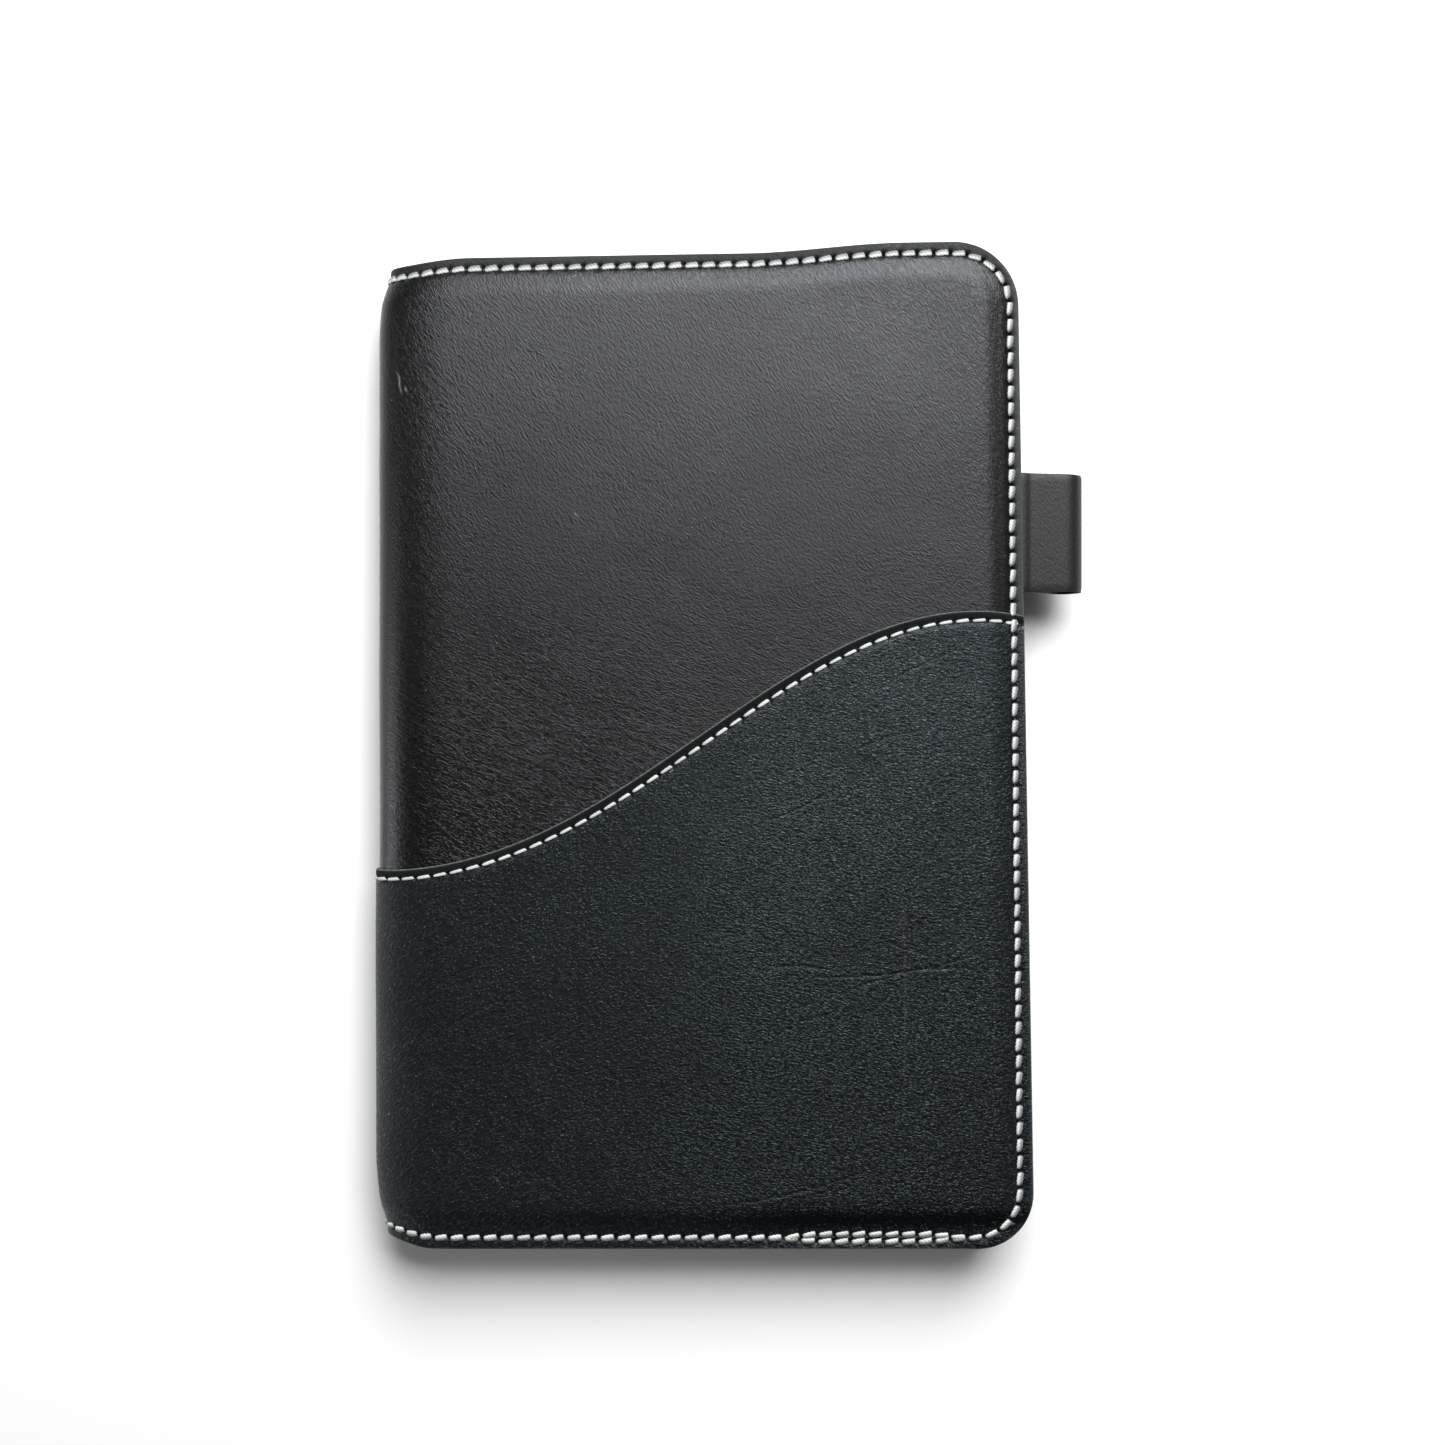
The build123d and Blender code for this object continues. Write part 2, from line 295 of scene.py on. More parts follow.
def board_pair(name, body, node_name, low, high, inside):
    """A covered board in its sleeve with the paper pasted on its inner face; inside is +1 for up."""
    z_in = high[2] if inside > 0 else low[2]
    z_out = z_in - inside * BOARD_THICK
    z_low, z_high = min(z_in, z_out), max(z_in, z_out)
    reach = (low[0] + BOARD_SETBACK, high[0] - BOARD_CLEAR)
    tall = high[1] - BOARD_CLEAR
    board = leaf_solid(f"{name}_board", reach, tall, BOARD_ROUND, lambda x: z_low, lambda x: z_high,
                       board_rim, [cloth])
    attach(board, body)
    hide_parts(node_name)
    p_low = z_in - (PASTE_SUNK if inside > 0 else PASTE_THICK)
    paste = leaf_solid(f"{name}_pastedown", (reach[0] + 0.4, reach[1] - PASTE_MARGIN), tall - PASTE_MARGIN,
                       PASTE_ROUND, lambda x: p_low, lambda x: p_low + PASTE_THICK + PASTE_SUNK,
                       [(0.0, 0.0), (1.0, 0.05)], [paper])
    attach(paste, body)


board_pair("back", "back_cover", "notebook_back_board", back_board_low, back_board_high, 1)
board_pair("front", "front_cover", "notebook_front_board", board_low, board_high, -1)
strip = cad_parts["notebook_spine_strip"]
strip.data.materials.clear()
strip.data.materials.append(cloth)
rounded = strip.modifiers.new("rounded", "BEVEL")
rounded.width, rounded.segments = 0.0003, 3

# ---- The spine lining and bands: open-weave cloth glued over the sewn backs of the sections, and a
# woven band at head and tail that covers the ends of the folds.


def woven(name, light, dark, threads):
    """A plain weave in two shades, threads to the metre."""
    material, tree, shader = new_material(name)
    place = node(tree, "ShaderNodeTexCoord").outputs["Object"]
    weave = crossed(tree, place, threads, 1.0, "ZY")
    tree.links.new(mixed(tree, weave, dark, light), shader.inputs["Base Color"])
    tree.links.new(bumped(tree, weave, 0.0001), shader.inputs["Normal"])
    shader.inputs["Roughness"].default_value = 0.9
    return material


mull = woven("open_weave_mull", (0.72, 0.69, 0.62, 1), (0.35, 0.33, 0.28, 1), 260.0)
cloth_low, cloth_high = span("notebook_backing_cloth")


def backing_cloth():
    """A thin sheet on the block's back, a little hollow between the sections."""
    heights = np.linspace(cloth_low[2], cloth_high[2], 4 * SECTIONS + 1)
    lengths = np.linspace(cloth_low[1], cloth_high[1], 60)
    verts = []
    for x_face in (cloth_low[0], cloth_high[0]):
        for z in heights:
            dip = 0.08 * math.sin(math.pi * SECTIONS * (z - heights[0]) / (heights[-1] - heights[0])) ** 2
            verts += [(x_face + (0.08 - dip if x_face == cloth_low[0] else 0), y, z) for y in lengths]
    rows, cols = len(heights), len(lengths)
    faces = []
    for i in range(rows - 1):
        for j in range(cols - 1):
            a = i * cols + j
            quad = [a, a + 1, a + cols + 1, a + cols]
            faces.append(quad)
            faces.append([rows * cols + k for k in reversed(quad)])
    rim = [(0, j) for j in range(cols)] + [(i, cols - 1) for i in range(1, rows)]
    rim += [(rows - 1, j) for j in range(cols - 2, -1, -1)] + [(i, 0) for i in range(rows - 2, 0, -1)]
    for (i, j), (i2, j2) in zip(rim, rim[1:] + rim[:1]):
        a, b = i * cols + j, i2 * cols + j2
        faces.append([b, a, rows * cols + a, rows * cols + b])
    return finished("backing_cloth", verts, faces, ([mull], [0] * len(faces)))


backing = backing_cloth()
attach(backing, "back_cover")
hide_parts("notebook_backing_cloth")

band_cord = woven("band_thread", (0.68, 0.66, 0.6, 1), (0.1, 0.1, 0.11, 1), 330.0)


def end_band(name, node_name):
    """A rolled band with the beads of its wrapping thread, standing at the end of the spine."""
    low, high = span(node_name)
    middle, radius = (low + high) / 2, (high[0] - low[0]) / 2
    beads, around = 22, 12
    stations = np.linspace(low[2], high[2], beads * 4 + 1)
    verts, faces = [], []
    for k, z in enumerate(stations):
        size = radius * (0.86 + 0.14 * abs(math.sin(math.pi * k / 4)))
        for a in range(around):
            angle = 2 * math.pi * a / around
            verts.append((middle[0] + size * math.cos(angle), middle[1] + size * math.sin(angle), z))
    for k in range(len(stations) - 1):
        for a in range(around):
            b = (a + 1) % around
            faces.append([k * around + a, k * around + b, (k + 1) * around + b, (k + 1) * around + a])
    faces.append(list(reversed(range(around))))
    faces.append([(len(stations) - 1) * around + a for a in range(around)])
    band = finished(name, verts, faces, ([band_cord], [0] * len(faces)))
    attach(band, "back_cover")
    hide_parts(node_name)


end_band("head_band", "notebook_head_band")
end_band("tail_band", "notebook_tail_band")

# ---- The lining: thin black leather pasted to the inside of the whole cover, from one fore edge round
# the spine to the other. It is made as two halves that meet along the middle of the spine.
NOSE_REACH = 20.0        # the leather rounds over the spine within this width
NOSE_SQUARENESS = 2.5
CORNER_HEAD, CORNER_TAIL = 14.5, 12.5
RIM_SINK = 1.1           # the sewn rim lies this much lower than the middle of a cover
RIM_FROM, RIM_TO = 1.0, 8.5

panel_low, panel_high = span("front_lower_panel")
leather_low, leather_high = span("front_outer_leather")
lining_low = span("front_lining")[0]
NOSE_STANDS = 2.0        # soft leather bellies out this far behind the spine
spine_x = span("spine_lower_panel")[0][0] - NOSE_STANDS
edge_x = leather_high[0]
half_height = leather_high[1]
top_z = panel_high[2]
middle_z = top_z / 2
PANEL = panel_high[2] - panel_low[2]
LEATHER_IN = top_z - leather_low[2]
LINING_IN = top_z - lining_low[2]
SLEEVE = 0.8


def wrap_curve():
    """The outer face of the front half from the middle of the spine to past the fore edge: how far along
    the leather each place lies, with its x, z and inward direction."""
    turn = np.linspace(0, math.pi / 2, 500)
    x = spine_x + NOSE_REACH * (1 - np.cos(turn) ** (2 / NOSE_SQUARENESS))
    z = middle_z * (1 + np.sin(turn) ** (2 / NOSE_SQUARENESS))
    flat = np.linspace(0, 140, 400)[1:]
    x, z = np.concatenate([x, x[-1] + flat]), np.concatenate([z, np.full(len(flat), top_z)])
    along = np.concatenate([[0], np.cumsum(np.hypot(np.diff(x), np.diff(z)))])
    slope_x, slope_z = np.gradient(x, along), np.gradient(z, along)
    length = np.hypot(slope_x, slope_z)
    return along, x, z, slope_z / length, -slope_x / length


ALONG, WRAP_X, WRAP_Z, WRAP_IN_X, WRAP_IN_Z = wrap_curve()


def across(s):
    """The x of a place that lies s along the leather from the middle of the spine."""
    return np.interp(s, ALONG, WRAP_X)


def along_at(x):
    """How far along the leather a given x is."""
    return float(np.interp(x, WRAP_X, ALONG))


def head_cut(s):
    """The hand-cut head edge: it falls a few millimetres towards the spine."""
    x = across(s)
    level = half_height - 2.0 + 0.017 * (x + 60.0) + 1.8 * smooth(x, 4.0, 38.0)
    return level - 1.2 * (1 - smooth(x, -76.0, -58.0))


def tail_cut(s):
    """The tail edge, lifted a little where it goes round the spine."""
    return -half_height - 1.0 + 1.9 * (1 - smooth(across(s), spine_x, spine_x + 14.0))


def fore_cut(y):
    """The fore edge, cut a little wider at the tail than at the head."""
    return along_at(edge_x) - 0.25 - 0.0165 * np.asarray(y, float)


def rim_sink(inset):
    """How far the rim is drawn down at a distance inside the cut edge."""
    return RIM_SINK * (1 - smooth(inset, RIM_FROM, RIM_TO))


def inset_of(s, y):
    """How far inside the cut edge a place on the flat leather is."""
    s, y = np.asarray(s, float), np.asarray(y, float)
    upper = y > 0
    radius = np.where(upper, CORNER_HEAD, CORNER_TAIL)
    reach = np.where(upper, head_cut(s), -tail_cut(s))
    beyond = s - (fore_cut(y) - radius)
    above = np.abs(y) - (reach - radius)
    corner = radius - np.hypot(np.maximum(beyond, 0), np.maximum(above, 0))
    return np.where((beyond > 0) & (above > 0), corner, radius - np.maximum(beyond, above))


def spaced(line, gap):
    """The same line with its points an even gap apart, ends kept."""
    run = np.concatenate([[0], np.cumsum(np.linalg.norm(np.diff(line, axis=0), axis=1))])
    stops = np.linspace(0, run[-1], max(2, int(round(run[-1] / gap)) + 1))
    return np.column_stack([np.interp(stops, run, line[:, k]) for k in (0, 1)])


def edge_line(inset, drift=0.0):
    """A line a given inset from the cut edge: along the head, round the fore edge and back along the
    tail. drift moves it further in at the tail end of the fore edge and out at the head end."""
    spans = []
    for sign, cut, radius in ((1, head_cut, CORNER_HEAD), (-1, tail_cut, CORNER_TAIL)):
        level = sign * (half_height - radius)
        centre_s = float(fore_cut(level)) - radius
        centre_y = float(cut(centre_s)) - sign * radius
        straight = np.linspace(0, centre_s, 60)
        turn = np.linspace(math.pi / 2, 0, 24)[1:]
        flat = np.column_stack([straight, cut(straight) - sign * inset])
        bend = np.column_stack([centre_s + (radius - inset) * np.cos(turn),
                                centre_y + sign * (radius - inset) * np.sin(turn)])
        spans.append(np.vstack([flat, bend]))
    line = np.vstack([spans[0], spans[1][::-1]])
    near = smooth(line[:, 0], along_at(edge_x) - 18, along_at(edge_x) - 3)
    line[:, 0] -= drift * near * -line[:, 1] / half_height
    return spaced(line, 0.25)


def placed(s, y, depth, side):
    """Where a place on the flat leather is in the closed cover, depth inside the outer face. side is
    +1 on the front half and -1 on the back half."""
    s, y = np.asarray(s, float), np.asarray(y, float)
    inward = depth + rim_sink(inset_of(s, y))
    pinch = 1.5 * smooth(np.abs(y), half_height - 20, half_height + 1) * np.exp(-((s / 13) ** 2))
    x = np.interp(s, ALONG, WRAP_X) + np.interp(s, ALONG, WRAP_IN_X) * inward + pinch
    z = np.interp(s, ALONG, WRAP_Z) + np.interp(s, ALONG, WRAP_IN_Z) * inward
    return np.column_stack([x, y, z if side > 0 else 2 * middle_z - z])


def thinned(groups):
    """Points from several groups, leaving out any that crowd one already taken. A group is (points,
    the room each needs)."""
    taken, cells, size = [], {}, 0.5
    for points, room in groups:
        for p in points:
            key = (math.floor(p[0] / size), math.floor(p[1] / size))
            reach = int(math.ceil(room / size))
            near = (q for i in range(-reach, reach + 1) for j in range(-reach, reach + 1)
                    for q in cells.get((key[0] + i, key[1] + j), ()))
            if room and any(abs(q[0] - p[0]) < room and math.hypot(q[0] - p[0], q[1] - p[1]) < room
                            for q in near):
                continue
            taken.append((float(p[0]), float(p[1])))
            cells.setdefault(key, []).append(taken[-1])
    return taken


def honeycomb(gap, s_range):
    """Evenly spread points over a half cover."""
    rows = np.arange(-half_height, half_height, gap * 0.866)
    first, last = s_range
    return np.array([(s + (gap / 2 if k % 2 else 0), y) for k, y in enumerate(rows)
                     for s in np.arange(first, last, gap)])


def cut_sheet(loop, inner):
    """Triangles that fill a closed loop and use the inner points: (points, triangles, loop's places)."""
    points = [Vector(p) for p in [*loop, *inner]]
    made = geometry.delaunay_2d_cdt(points, [], [list(range(len(loop)))], 1, 1e-5)
    where = {original: k for k, originals in enumerate(made[3]) for original in originals}
    flat = np.array([tuple(p) for p in made[0]])
    return flat, [list(f) for f in made[2]], [where[k] for k in range(len(loop))]


def skived_sheet(name, sheet, outer_depth, inner_depth, side, skins, plain=()):
    """A closed sheet of leather from a flat cut: outer and inner faces at their depths, and its cut
    edge between them. skins are its face and its cut edge; plain lists extra values by point."""
    flat, triangles, rim = sheet
    s, y = flat[:, 0], flat[:, 1]
    outer, inner = placed(s, y, outer_depth(s, y), side), placed(s, y, inner_depth(s, y), side)
    count = len(flat)
    if side < 0:
        triangles = [t[::-1] for t in triangles]
    turned = [[count + k for k in reversed(t)] for t in triangles]
    ends = list(zip(rim, rim[1:] + rim[:1]))
    walls = [[b, a, count + a, count + b] if side > 0 else [a, b, count + b, count + a] for a, b in ends]
    faces = triangles + turned + walls
    choice = [0] * (2 * len(triangles)) + [1] * len(walls)
    piece = finished(name, np.vstack([outer, inner]), faces, (skins, choice))
    lay = piece.data.attributes.new("flat_place", "FLOAT_VECTOR", "POINT")
    spread = np.column_stack([s * side, y, np.zeros(count)])
    lay.data.foreach_set("vector", np.tile(spread, (2, 1)).astype(np.float32).ravel())
    for label, values in dict(plain).items():
        held = piece.data.attributes.new(label, "FLOAT", "POINT")
        held.data.foreach_set("value", np.concatenate([values, np.zeros(count)]).astype(np.float32))
    return piece


def folds(piece, side):
    """The half with its placement baked into its mesh, the same for the front and back halves."""
    if side > 0:
        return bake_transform(piece)
    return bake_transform(piece)


def whole_loop(gap):
    """The outline of one half: the cut edge, then back up the middle of the spine."""
    cut = spaced(edge_line(0.0), gap)
    middle = spaced(np.array([cut[-1], cut[0]]), 1.4)[1:-1]
    return np.vstack([cut, middle])


def inside_half(points, margin):
    """The points that are inside the cut edge and the spine line by at least a margin."""
    return points[(inset_of(points[:, 0], points[:, 1]) > margin) & (points[:, 0] > min(margin, 1.0))]


def leather_grain():
    """The surface of a tanned hide: pebbles with fine furrows between them and a crinkle drawn out in one
    direction, under slow changes of tone. One group for every leather in the cover."""
    group = bpy.data.node_groups.new("hide_grain", "ShaderNodeTree")
    face = group.interface
    face.new_socket(name="Place", in_out="INPUT", socket_type="NodeSocketVector")
    for label, value in (("Pebble", 0.6), ("Stretch", 0.7), ("Turn", 0.5)):
        face.new_socket(name=label, in_out="INPUT", socket_type="NodeSocketFloat").default_value = value
    for label in ("Pebbles", "Crinkle", "Pores", "Cloud"):
        face.new_socket(name=label, in_out="OUTPUT", socket_type="NodeSocketFloat")
    given = group.nodes.new("NodeGroupInput").outputs
    result = group.nodes.new("NodeGroupOutput").inputs
    turned = node(group, "ShaderNodeVectorRotate", {"Vector": given["Place"], "Angle": given["Turn"]},
                  rotation_type="Z_AXIS").outputs[0]
    drawn = node(group, "ShaderNodeCombineXYZ", {"X": given["Stretch"], "Y": 1.0, "Z": 1.0}).outputs[0]
    sized = node(group, "ShaderNodeVectorMath", {0: turned, 1: drawn}, operation="MULTIPLY").outputs[0]
    scale = maths(group, "DIVIDE", 1.0, given["Pebble"])
    wander = node(group, "ShaderNodeTexNoise", {"Vector": sized, "Scale": 0.9, "Detail": 3.0})
    shift = node(group, "ShaderNodeVectorMath", {0: wander.outputs["Color"], 1: (0.8, 0.8, 0.0)},
                 operation="MULTIPLY")
    bent = node(group, "ShaderNodeVectorMath", {0: sized, 1: shift.outputs[0]}, operation="ADD").outputs[0]
    cells = node(group, "ShaderNodeTexVoronoi", {"Vector": bent, "Scale": scale, "Randomness": 1.0},
                 feature="DISTANCE_TO_EDGE", voronoi_dimensions="2D").outputs["Distance"]
    group.links.new(ramp(group, cells, 0.0, 0.28), result["Pebbles"])
    ridges = node(group, "ShaderNodeTexNoise", {"Vector": bent, "Scale": scale, "Detail": 2.0,
                                                "Roughness": 0.6}, noise_dimensions="2D").outputs["Fac"]
    group.links.new(ramp(group, ridges, 0.28, 0.72), result["Crinkle"])
    pores = node(group, "ShaderNodeTexNoise", {"Vector": given["Place"], "Scale": 5.5, "Detail": 4.0})
    group.links.new(pores.outputs["Fac"], result["Pores"])
    cloud = node(group, "ShaderNodeTexNoise", {"Vector": given["Place"], "Scale": 0.028, "Detail": 4.0,
                                               "Roughness": 0.55}).outputs["Fac"]
    group.links.new(cloud, result["Cloud"])
    return group


hide_grain = leather_grain()


def flat_place(tree):
    """The place on the flat leather, in millimetres, so that grain follows the hide round the spine."""
    return node(tree, "ShaderNodeAttribute", attribute_name="flat_place").outputs["Vector"]


def grained(tree, pebble, stretch, turn):
    """The hide grain placed in a material with its own pebble size and lie."""
    made = node(tree, "ShaderNodeGroup", node_tree=hide_grain)
    tree.links.new(flat_place(tree), made.inputs["Place"])
    for label, value in (("Pebble", pebble), ("Stretch", stretch), ("Turn", turn)):
        made.inputs[label].default_value = value
    return made.outputs


def plain_leather(name, dark, light, pebble, rough):
    """Thin dyed leather for the inside: small grain and a dull finish."""
    material, tree, shader = new_material(name)
    grain = grained(tree, pebble, 0.8, 0.3)
    hollows = ramp(tree, grain["Pebbles"], 0.0, 1.0, 0.6, 1.0)
    tone = maths(tree, "MULTIPLY", ramp(tree, grain["Cloud"], 0.3, 0.7), hollows)
    tree.links.new(mixed(tree, tone, dark, light), shader.inputs["Base Color"])
    dull = ramp(tree, grain["Pores"], 0.3, 0.7, rough - 0.06, rough + 0.08)
    tree.links.new(dull, shader.inputs["Roughness"])
    fine = bumped(tree, grain["Pores"], 0.00003)
    tree.links.new(bumped(tree, grain["Pebbles"], 0.00008, fine), shader.inputs["Normal"])
    shader.inputs["Specular IOR Level"].default_value = 0.4
    return material


def raw_edge(name, dark, light):
    """The cut edge of leather: fibres end on, dyed and rubbed."""
    material, tree, shader = new_material(name)
    place = node(tree, "ShaderNodeTexCoord").outputs["Object"]
    fibre = node(tree, "ShaderNodeTexNoise", {"Vector": place, "Scale": 1500.0, "Detail": 5.0}).outputs["Fac"]
    tree.links.new(mixed(tree, ramp(tree, fibre, 0.35, 0.75), dark, light), shader.inputs["Base Color"])
    tree.links.new(bumped(tree, fibre, 0.00018), shader.inputs["Normal"])
    shader.inputs["Roughness"].default_value = 0.8
    shader.inputs["Specular IOR Level"].default_value = 0.3
    return material


lining_face = plain_leather("lining_leather", (0.012, 0.012, 0.013, 1), (0.026, 0.026, 0.028, 1), 0.5, 0.6)
dyed_edge = raw_edge("dyed_edge", (0.012, 0.012, 0.013, 1), (0.09, 0.09, 0.095, 1))


def plain_points(gap, rings, s_from=1.0):
    """Inner points for a sheet with no stitches of its own: a few rows near the edge, then a mesh."""
    rows = [(inside_half(spaced(edge_line(r), 1.6), r - 0.2), 0.8) for r in rings]
    middle = inside_half(honeycomb(gap, (s_from, along_at(edge_x))), rings[-1] + 0.6 * gap)
    return rows + [(middle, 0.6 * gap)]


def lining_half(side, name, *nodes):
    """Half of the lining, the same depth all over."""
    loop = whole_loop(1.4)
    inner = thinned([(loop, 0), *plain_points(3.2, (1.3, 2.6, 4.0, 5.6, 7.4, 9.4))])[len(loop):]
    piece = skived_sheet(name, cut_sheet(loop, inner), lambda s, y: np.full(len(s), LEATHER_IN),
                         lambda s, y: np.full(len(s), LINING_IN), side, [lining_face, dyed_edge])
    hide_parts(*nodes)
    return folds(piece, side)


lining_half(1, "front_lining_half", "front_lining", "spine_lining")
lining_half(-1, "back_lining_half", "back_lining", "spine_lining")

# ---- The two sleeves: a sheet of leather inside each cover, sewn down along head, fore edge and tail and
# open towards the spine, so that a board of the notebook slides in. A line is creased along its mouth.
sleeve_face = plain_leather("sleeve_leather", (0.010, 0.010, 0.011, 1), (0.024, 0.024, 0.026, 1), 0.7, 0.5)
MOUTH_X = sleeve_low[0]
POCKET_IN = LINING_IN + 0.3 + BOARD_THICK
loop_low, loop_high = span("pen_loop")
TAILS = 1.6              # the two tails of the pen loop, one on the other


def plain_sleeve_depth(s, y):
    """Against the lining at the sewn rim, and over the board inside it."""
    return LINING_IN + (POCKET_IN - LINING_IN) * smooth(inset_of(s, y), 2.9, 6.2)


def sleeve_depth(s, y):
    """The front sleeve's, which also goes over the pen loop's tails."""
    beside = smooth(y, loop_low[1] - 5, loop_low[1]) * (1 - smooth(y, loop_high[1], loop_high[1] + 5))
    near_fore = 1 - smooth(fore_cut(y) - s, 5.5, 9.0)
    return np.maximum(plain_sleeve_depth(s, y), LINING_IN + TAILS * beside * near_fore)


def sleeve(side, name, body, node_name, depth):
    """One sleeve, with a crease pressed beside its mouth."""
    mouth = along_at(MOUTH_X)
    cut = spaced(edge_line(0.0), 1.0)
    cut = cut[cut[:, 0] > mouth + 0.4]
    top, bottom = (mouth, float(head_cut(mouth))), (mouth, float(tail_cut(mouth)))
    loop = np.vstack([[top], cut, [bottom], spaced(np.array([bottom, top]), 1.2)[1:-1]])
    rows = [(inside_half(spaced(edge_line(r), 1.0), r - 0.2), 0.55) for r in np.linspace(0.6, 9.0, 13)]
    lines = np.vstack([np.column_stack([np.full(180, mouth + d), np.linspace(-108, 108, 180)])
                       for d in (0.5, 1.2, 1.7, 2.0, 2.3, 2.8, 3.8)])
    middle = inside_half(honeycomb(2.6, (mouth + 5, along_at(edge_x))), 10.5)
    groups = [(loop, 0), (lines, 0.3), *rows, (middle, 1.6)]
    groups = [groups[0]] + [(g[g[:, 0] > mouth + 0.3], room) for g, room in groups[1:]]
    groups[1] = (inside_half(groups[1][0], 0.3), 0.3)
    inner = thinned(groups)[len(loop):]

    def face(s, y):
        crease = 0.16 * np.exp(-(((s - mouth - 2.0) / 0.35) ** 2))
        rounding = 0.18 * (1 - smooth(s - mouth, 0.0, 0.5))
        return depth(s, y) + SLEEVE - crease - rounding

    piece = skived_sheet(name, cut_sheet(loop, inner), depth, face, side, [sleeve_face, dyed_edge])
    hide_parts(node_name)
    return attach(piece, body)


sleeve(1, "front_pocket_sleeve", "front_cover", "front_sleeve", sleeve_depth)
sleeve(-1, "back_pocket_sleeve", "back_cover", "back_sleeve", plain_sleeve_depth)

# ---- The outer leather: one smooth sheet of full-grain hide with a satin finish, wrapped round the whole
# cover. It is rubbed brown-black low down by the spine and greyer towards the head.


def tree_of(places):
    """A search tree over places on the flat leather."""
    tree = kdtree.KDTree(len(places))
    for k, place in enumerate(places):
        tree.insert((place[0], place[1], 0), k)
    tree.balance()
    return tree


class Seam:
    """A row of stitches on the flat leather: its line, and its needle holes an even pitch apart."""

    def __init__(self, line, pitch, slant):
        run = np.concatenate([[0], np.cumsum(np.linalg.norm(np.diff(line, axis=0), axis=1))])
        count = int(round(run[-1] / pitch))
        self.run, self.line, self.count, self.slant = run, line, count, slant
        self.pitch = run[-1] / count
        self.holes = np.array([self.at(k * self.pitch)[0] for k in range(count + 1)])
        self.heading = np.array([self.at(k * self.pitch)[1] for k in range(count + 1)])

    def at(self, travel):
        """The point at a distance along the row, and the row's direction there."""
        here = [np.interp(travel, self.run, self.line[:, k]) for k in (0, 1)]
        back = [np.interp(travel - 0.6, self.run, self.line[:, k]) for k in (0, 1)]
        ahead = [np.interp(travel + 0.6, self.run, self.line[:, k]) for k in (0, 1)]
        step = np.array(ahead) - np.array(back)
        return np.array(here), step / np.maximum(np.linalg.norm(step, axis=0), 1e-9)

    def slit_axes(self, k):
        """A needle hole's long and short directions: an awl slit leaning across the row."""
        ahead = self.heading[k]
        lean = self.slant
        c, s = math.cos(lean), math.sin(lean)
        long = np.array([ahead[0] * c - ahead[1] * s, ahead[0] * s + ahead[1] * c])
        return long, np.array([-long[1], long[0]])

    def slit_points(self):
        """Mesh points round every needle hole."""
        found = []
        for k, hole in enumerate(self.holes):
            long, short = self.slit_axes(k)
            found.append(hole)
            for a in range(8):
                c, s = math.cos(a * math.pi / 4), math.sin(a * math.pi / 4)
                found.append(hole + long * c * SLIT_LONG + short * s * SLIT_WIDE)
                found.append(hole + long * c * SLIT_LONG * 1.45 + short * s * SLIT_WIDE * 2.1)
        return np.array(found)

    def pressed(self, s, y):
        """How deep the thread pulls the face down at each place, and how nearly it is a needle hole."""
        line, holes = tree_of(self.line), tree_of(self.holes)
        depth, pricked = np.zeros(len(s)), np.zeros(len(s))
        low, high = self.line.min(0) - 4, self.line.max(0) + 4
        for n in range(len(s)):
            if not (low[0] < s[n] < high[0] and low[1] < y[n] < high[1]):
                continue
            away = line.find((s[n], y[n], 0))[2]
            if away > 4:
                continue
            _, k, gap = holes.find((s[n], y[n], 0))
            offset = np.array([s[n], y[n]]) - self.holes[k]
            long, short = self.slit_axes(k)
            ellipse = math.hypot(offset @ long / SLIT_LONG, offset @ short / SLIT_WIDE)
            pricked[n] = math.exp(-((ellipse / 1.15) ** 4))
            near = math.exp(-((gap / 1.1) ** 2))
            depth[n] = (0.17 + 0.13 * near) * math.exp(-((away / 0.75) ** 2))
            depth[n] += 0.75 * math.exp(-(ellipse**2) / 0.7)
            depth[n] -= 0.07 * math.exp(-(((away - 1.75) / 0.8) ** 2))
        return depth, pricked


SLIT_LONG, SLIT_WIDE = 0.72, 0.26
STITCH_PITCH = 3.73
STITCH_INSET = 2.55
EDGE_DRIFT = 0.6
AWL_LEAN = math.radians(55)
DOUBLED_FROM, DOUBLED_TO = 12.0, 52.5     # the x between which the tail seam is sewn twice
DOUBLED_APART = 0.85


def doubling(s):
    """1 where the two rows of the doubled stretch lie apart, 0 where they share their holes."""
    x = across(s)
    return smooth(x, DOUBLED_FROM, DOUBLED_FROM + 7) * (1 - smooth(x, DOUBLED_TO - 9, DOUBLED_TO))


def edge_row(side):
    """The line of the edge stitching; on the front it swings out beside the doubled stretch."""
    line = edge_line(STITCH_INSET, EDGE_DRIFT)
    if side > 0:
        at_tail = line[:, 1] < -half_height + 8
        line[:, 1] -= DOUBLED_APART * doubling(line[:, 0]) * at_tail
    return line


edge_seams = {side: Seam(edge_row(side), STITCH_PITCH, AWL_LEAN) for side in (1, -1)}
start_s, end_s = along_at(DOUBLED_FROM), along_at(DOUBLED_TO)
doubled_line = np.column_stack([np.linspace(start_s, end_s, 200)] * 2)
doubled_line[:, 1] = tail_cut(doubled_line[:, 0]) + STITCH_INSET
doubled_line[:, 1] += DOUBLED_APART * doubling(doubled_line[:, 0])
doubled_seam = Seam(doubled_line, STITCH_PITCH, AWL_LEAN)
WAVE_LOW, WAVE_HIGH = span("spine_lower_panel")[1][1], panel_high[1]
WAVE_RUN, WAVE_SKEW = 135.4, 1.09
WAVE_INSET = 2.1


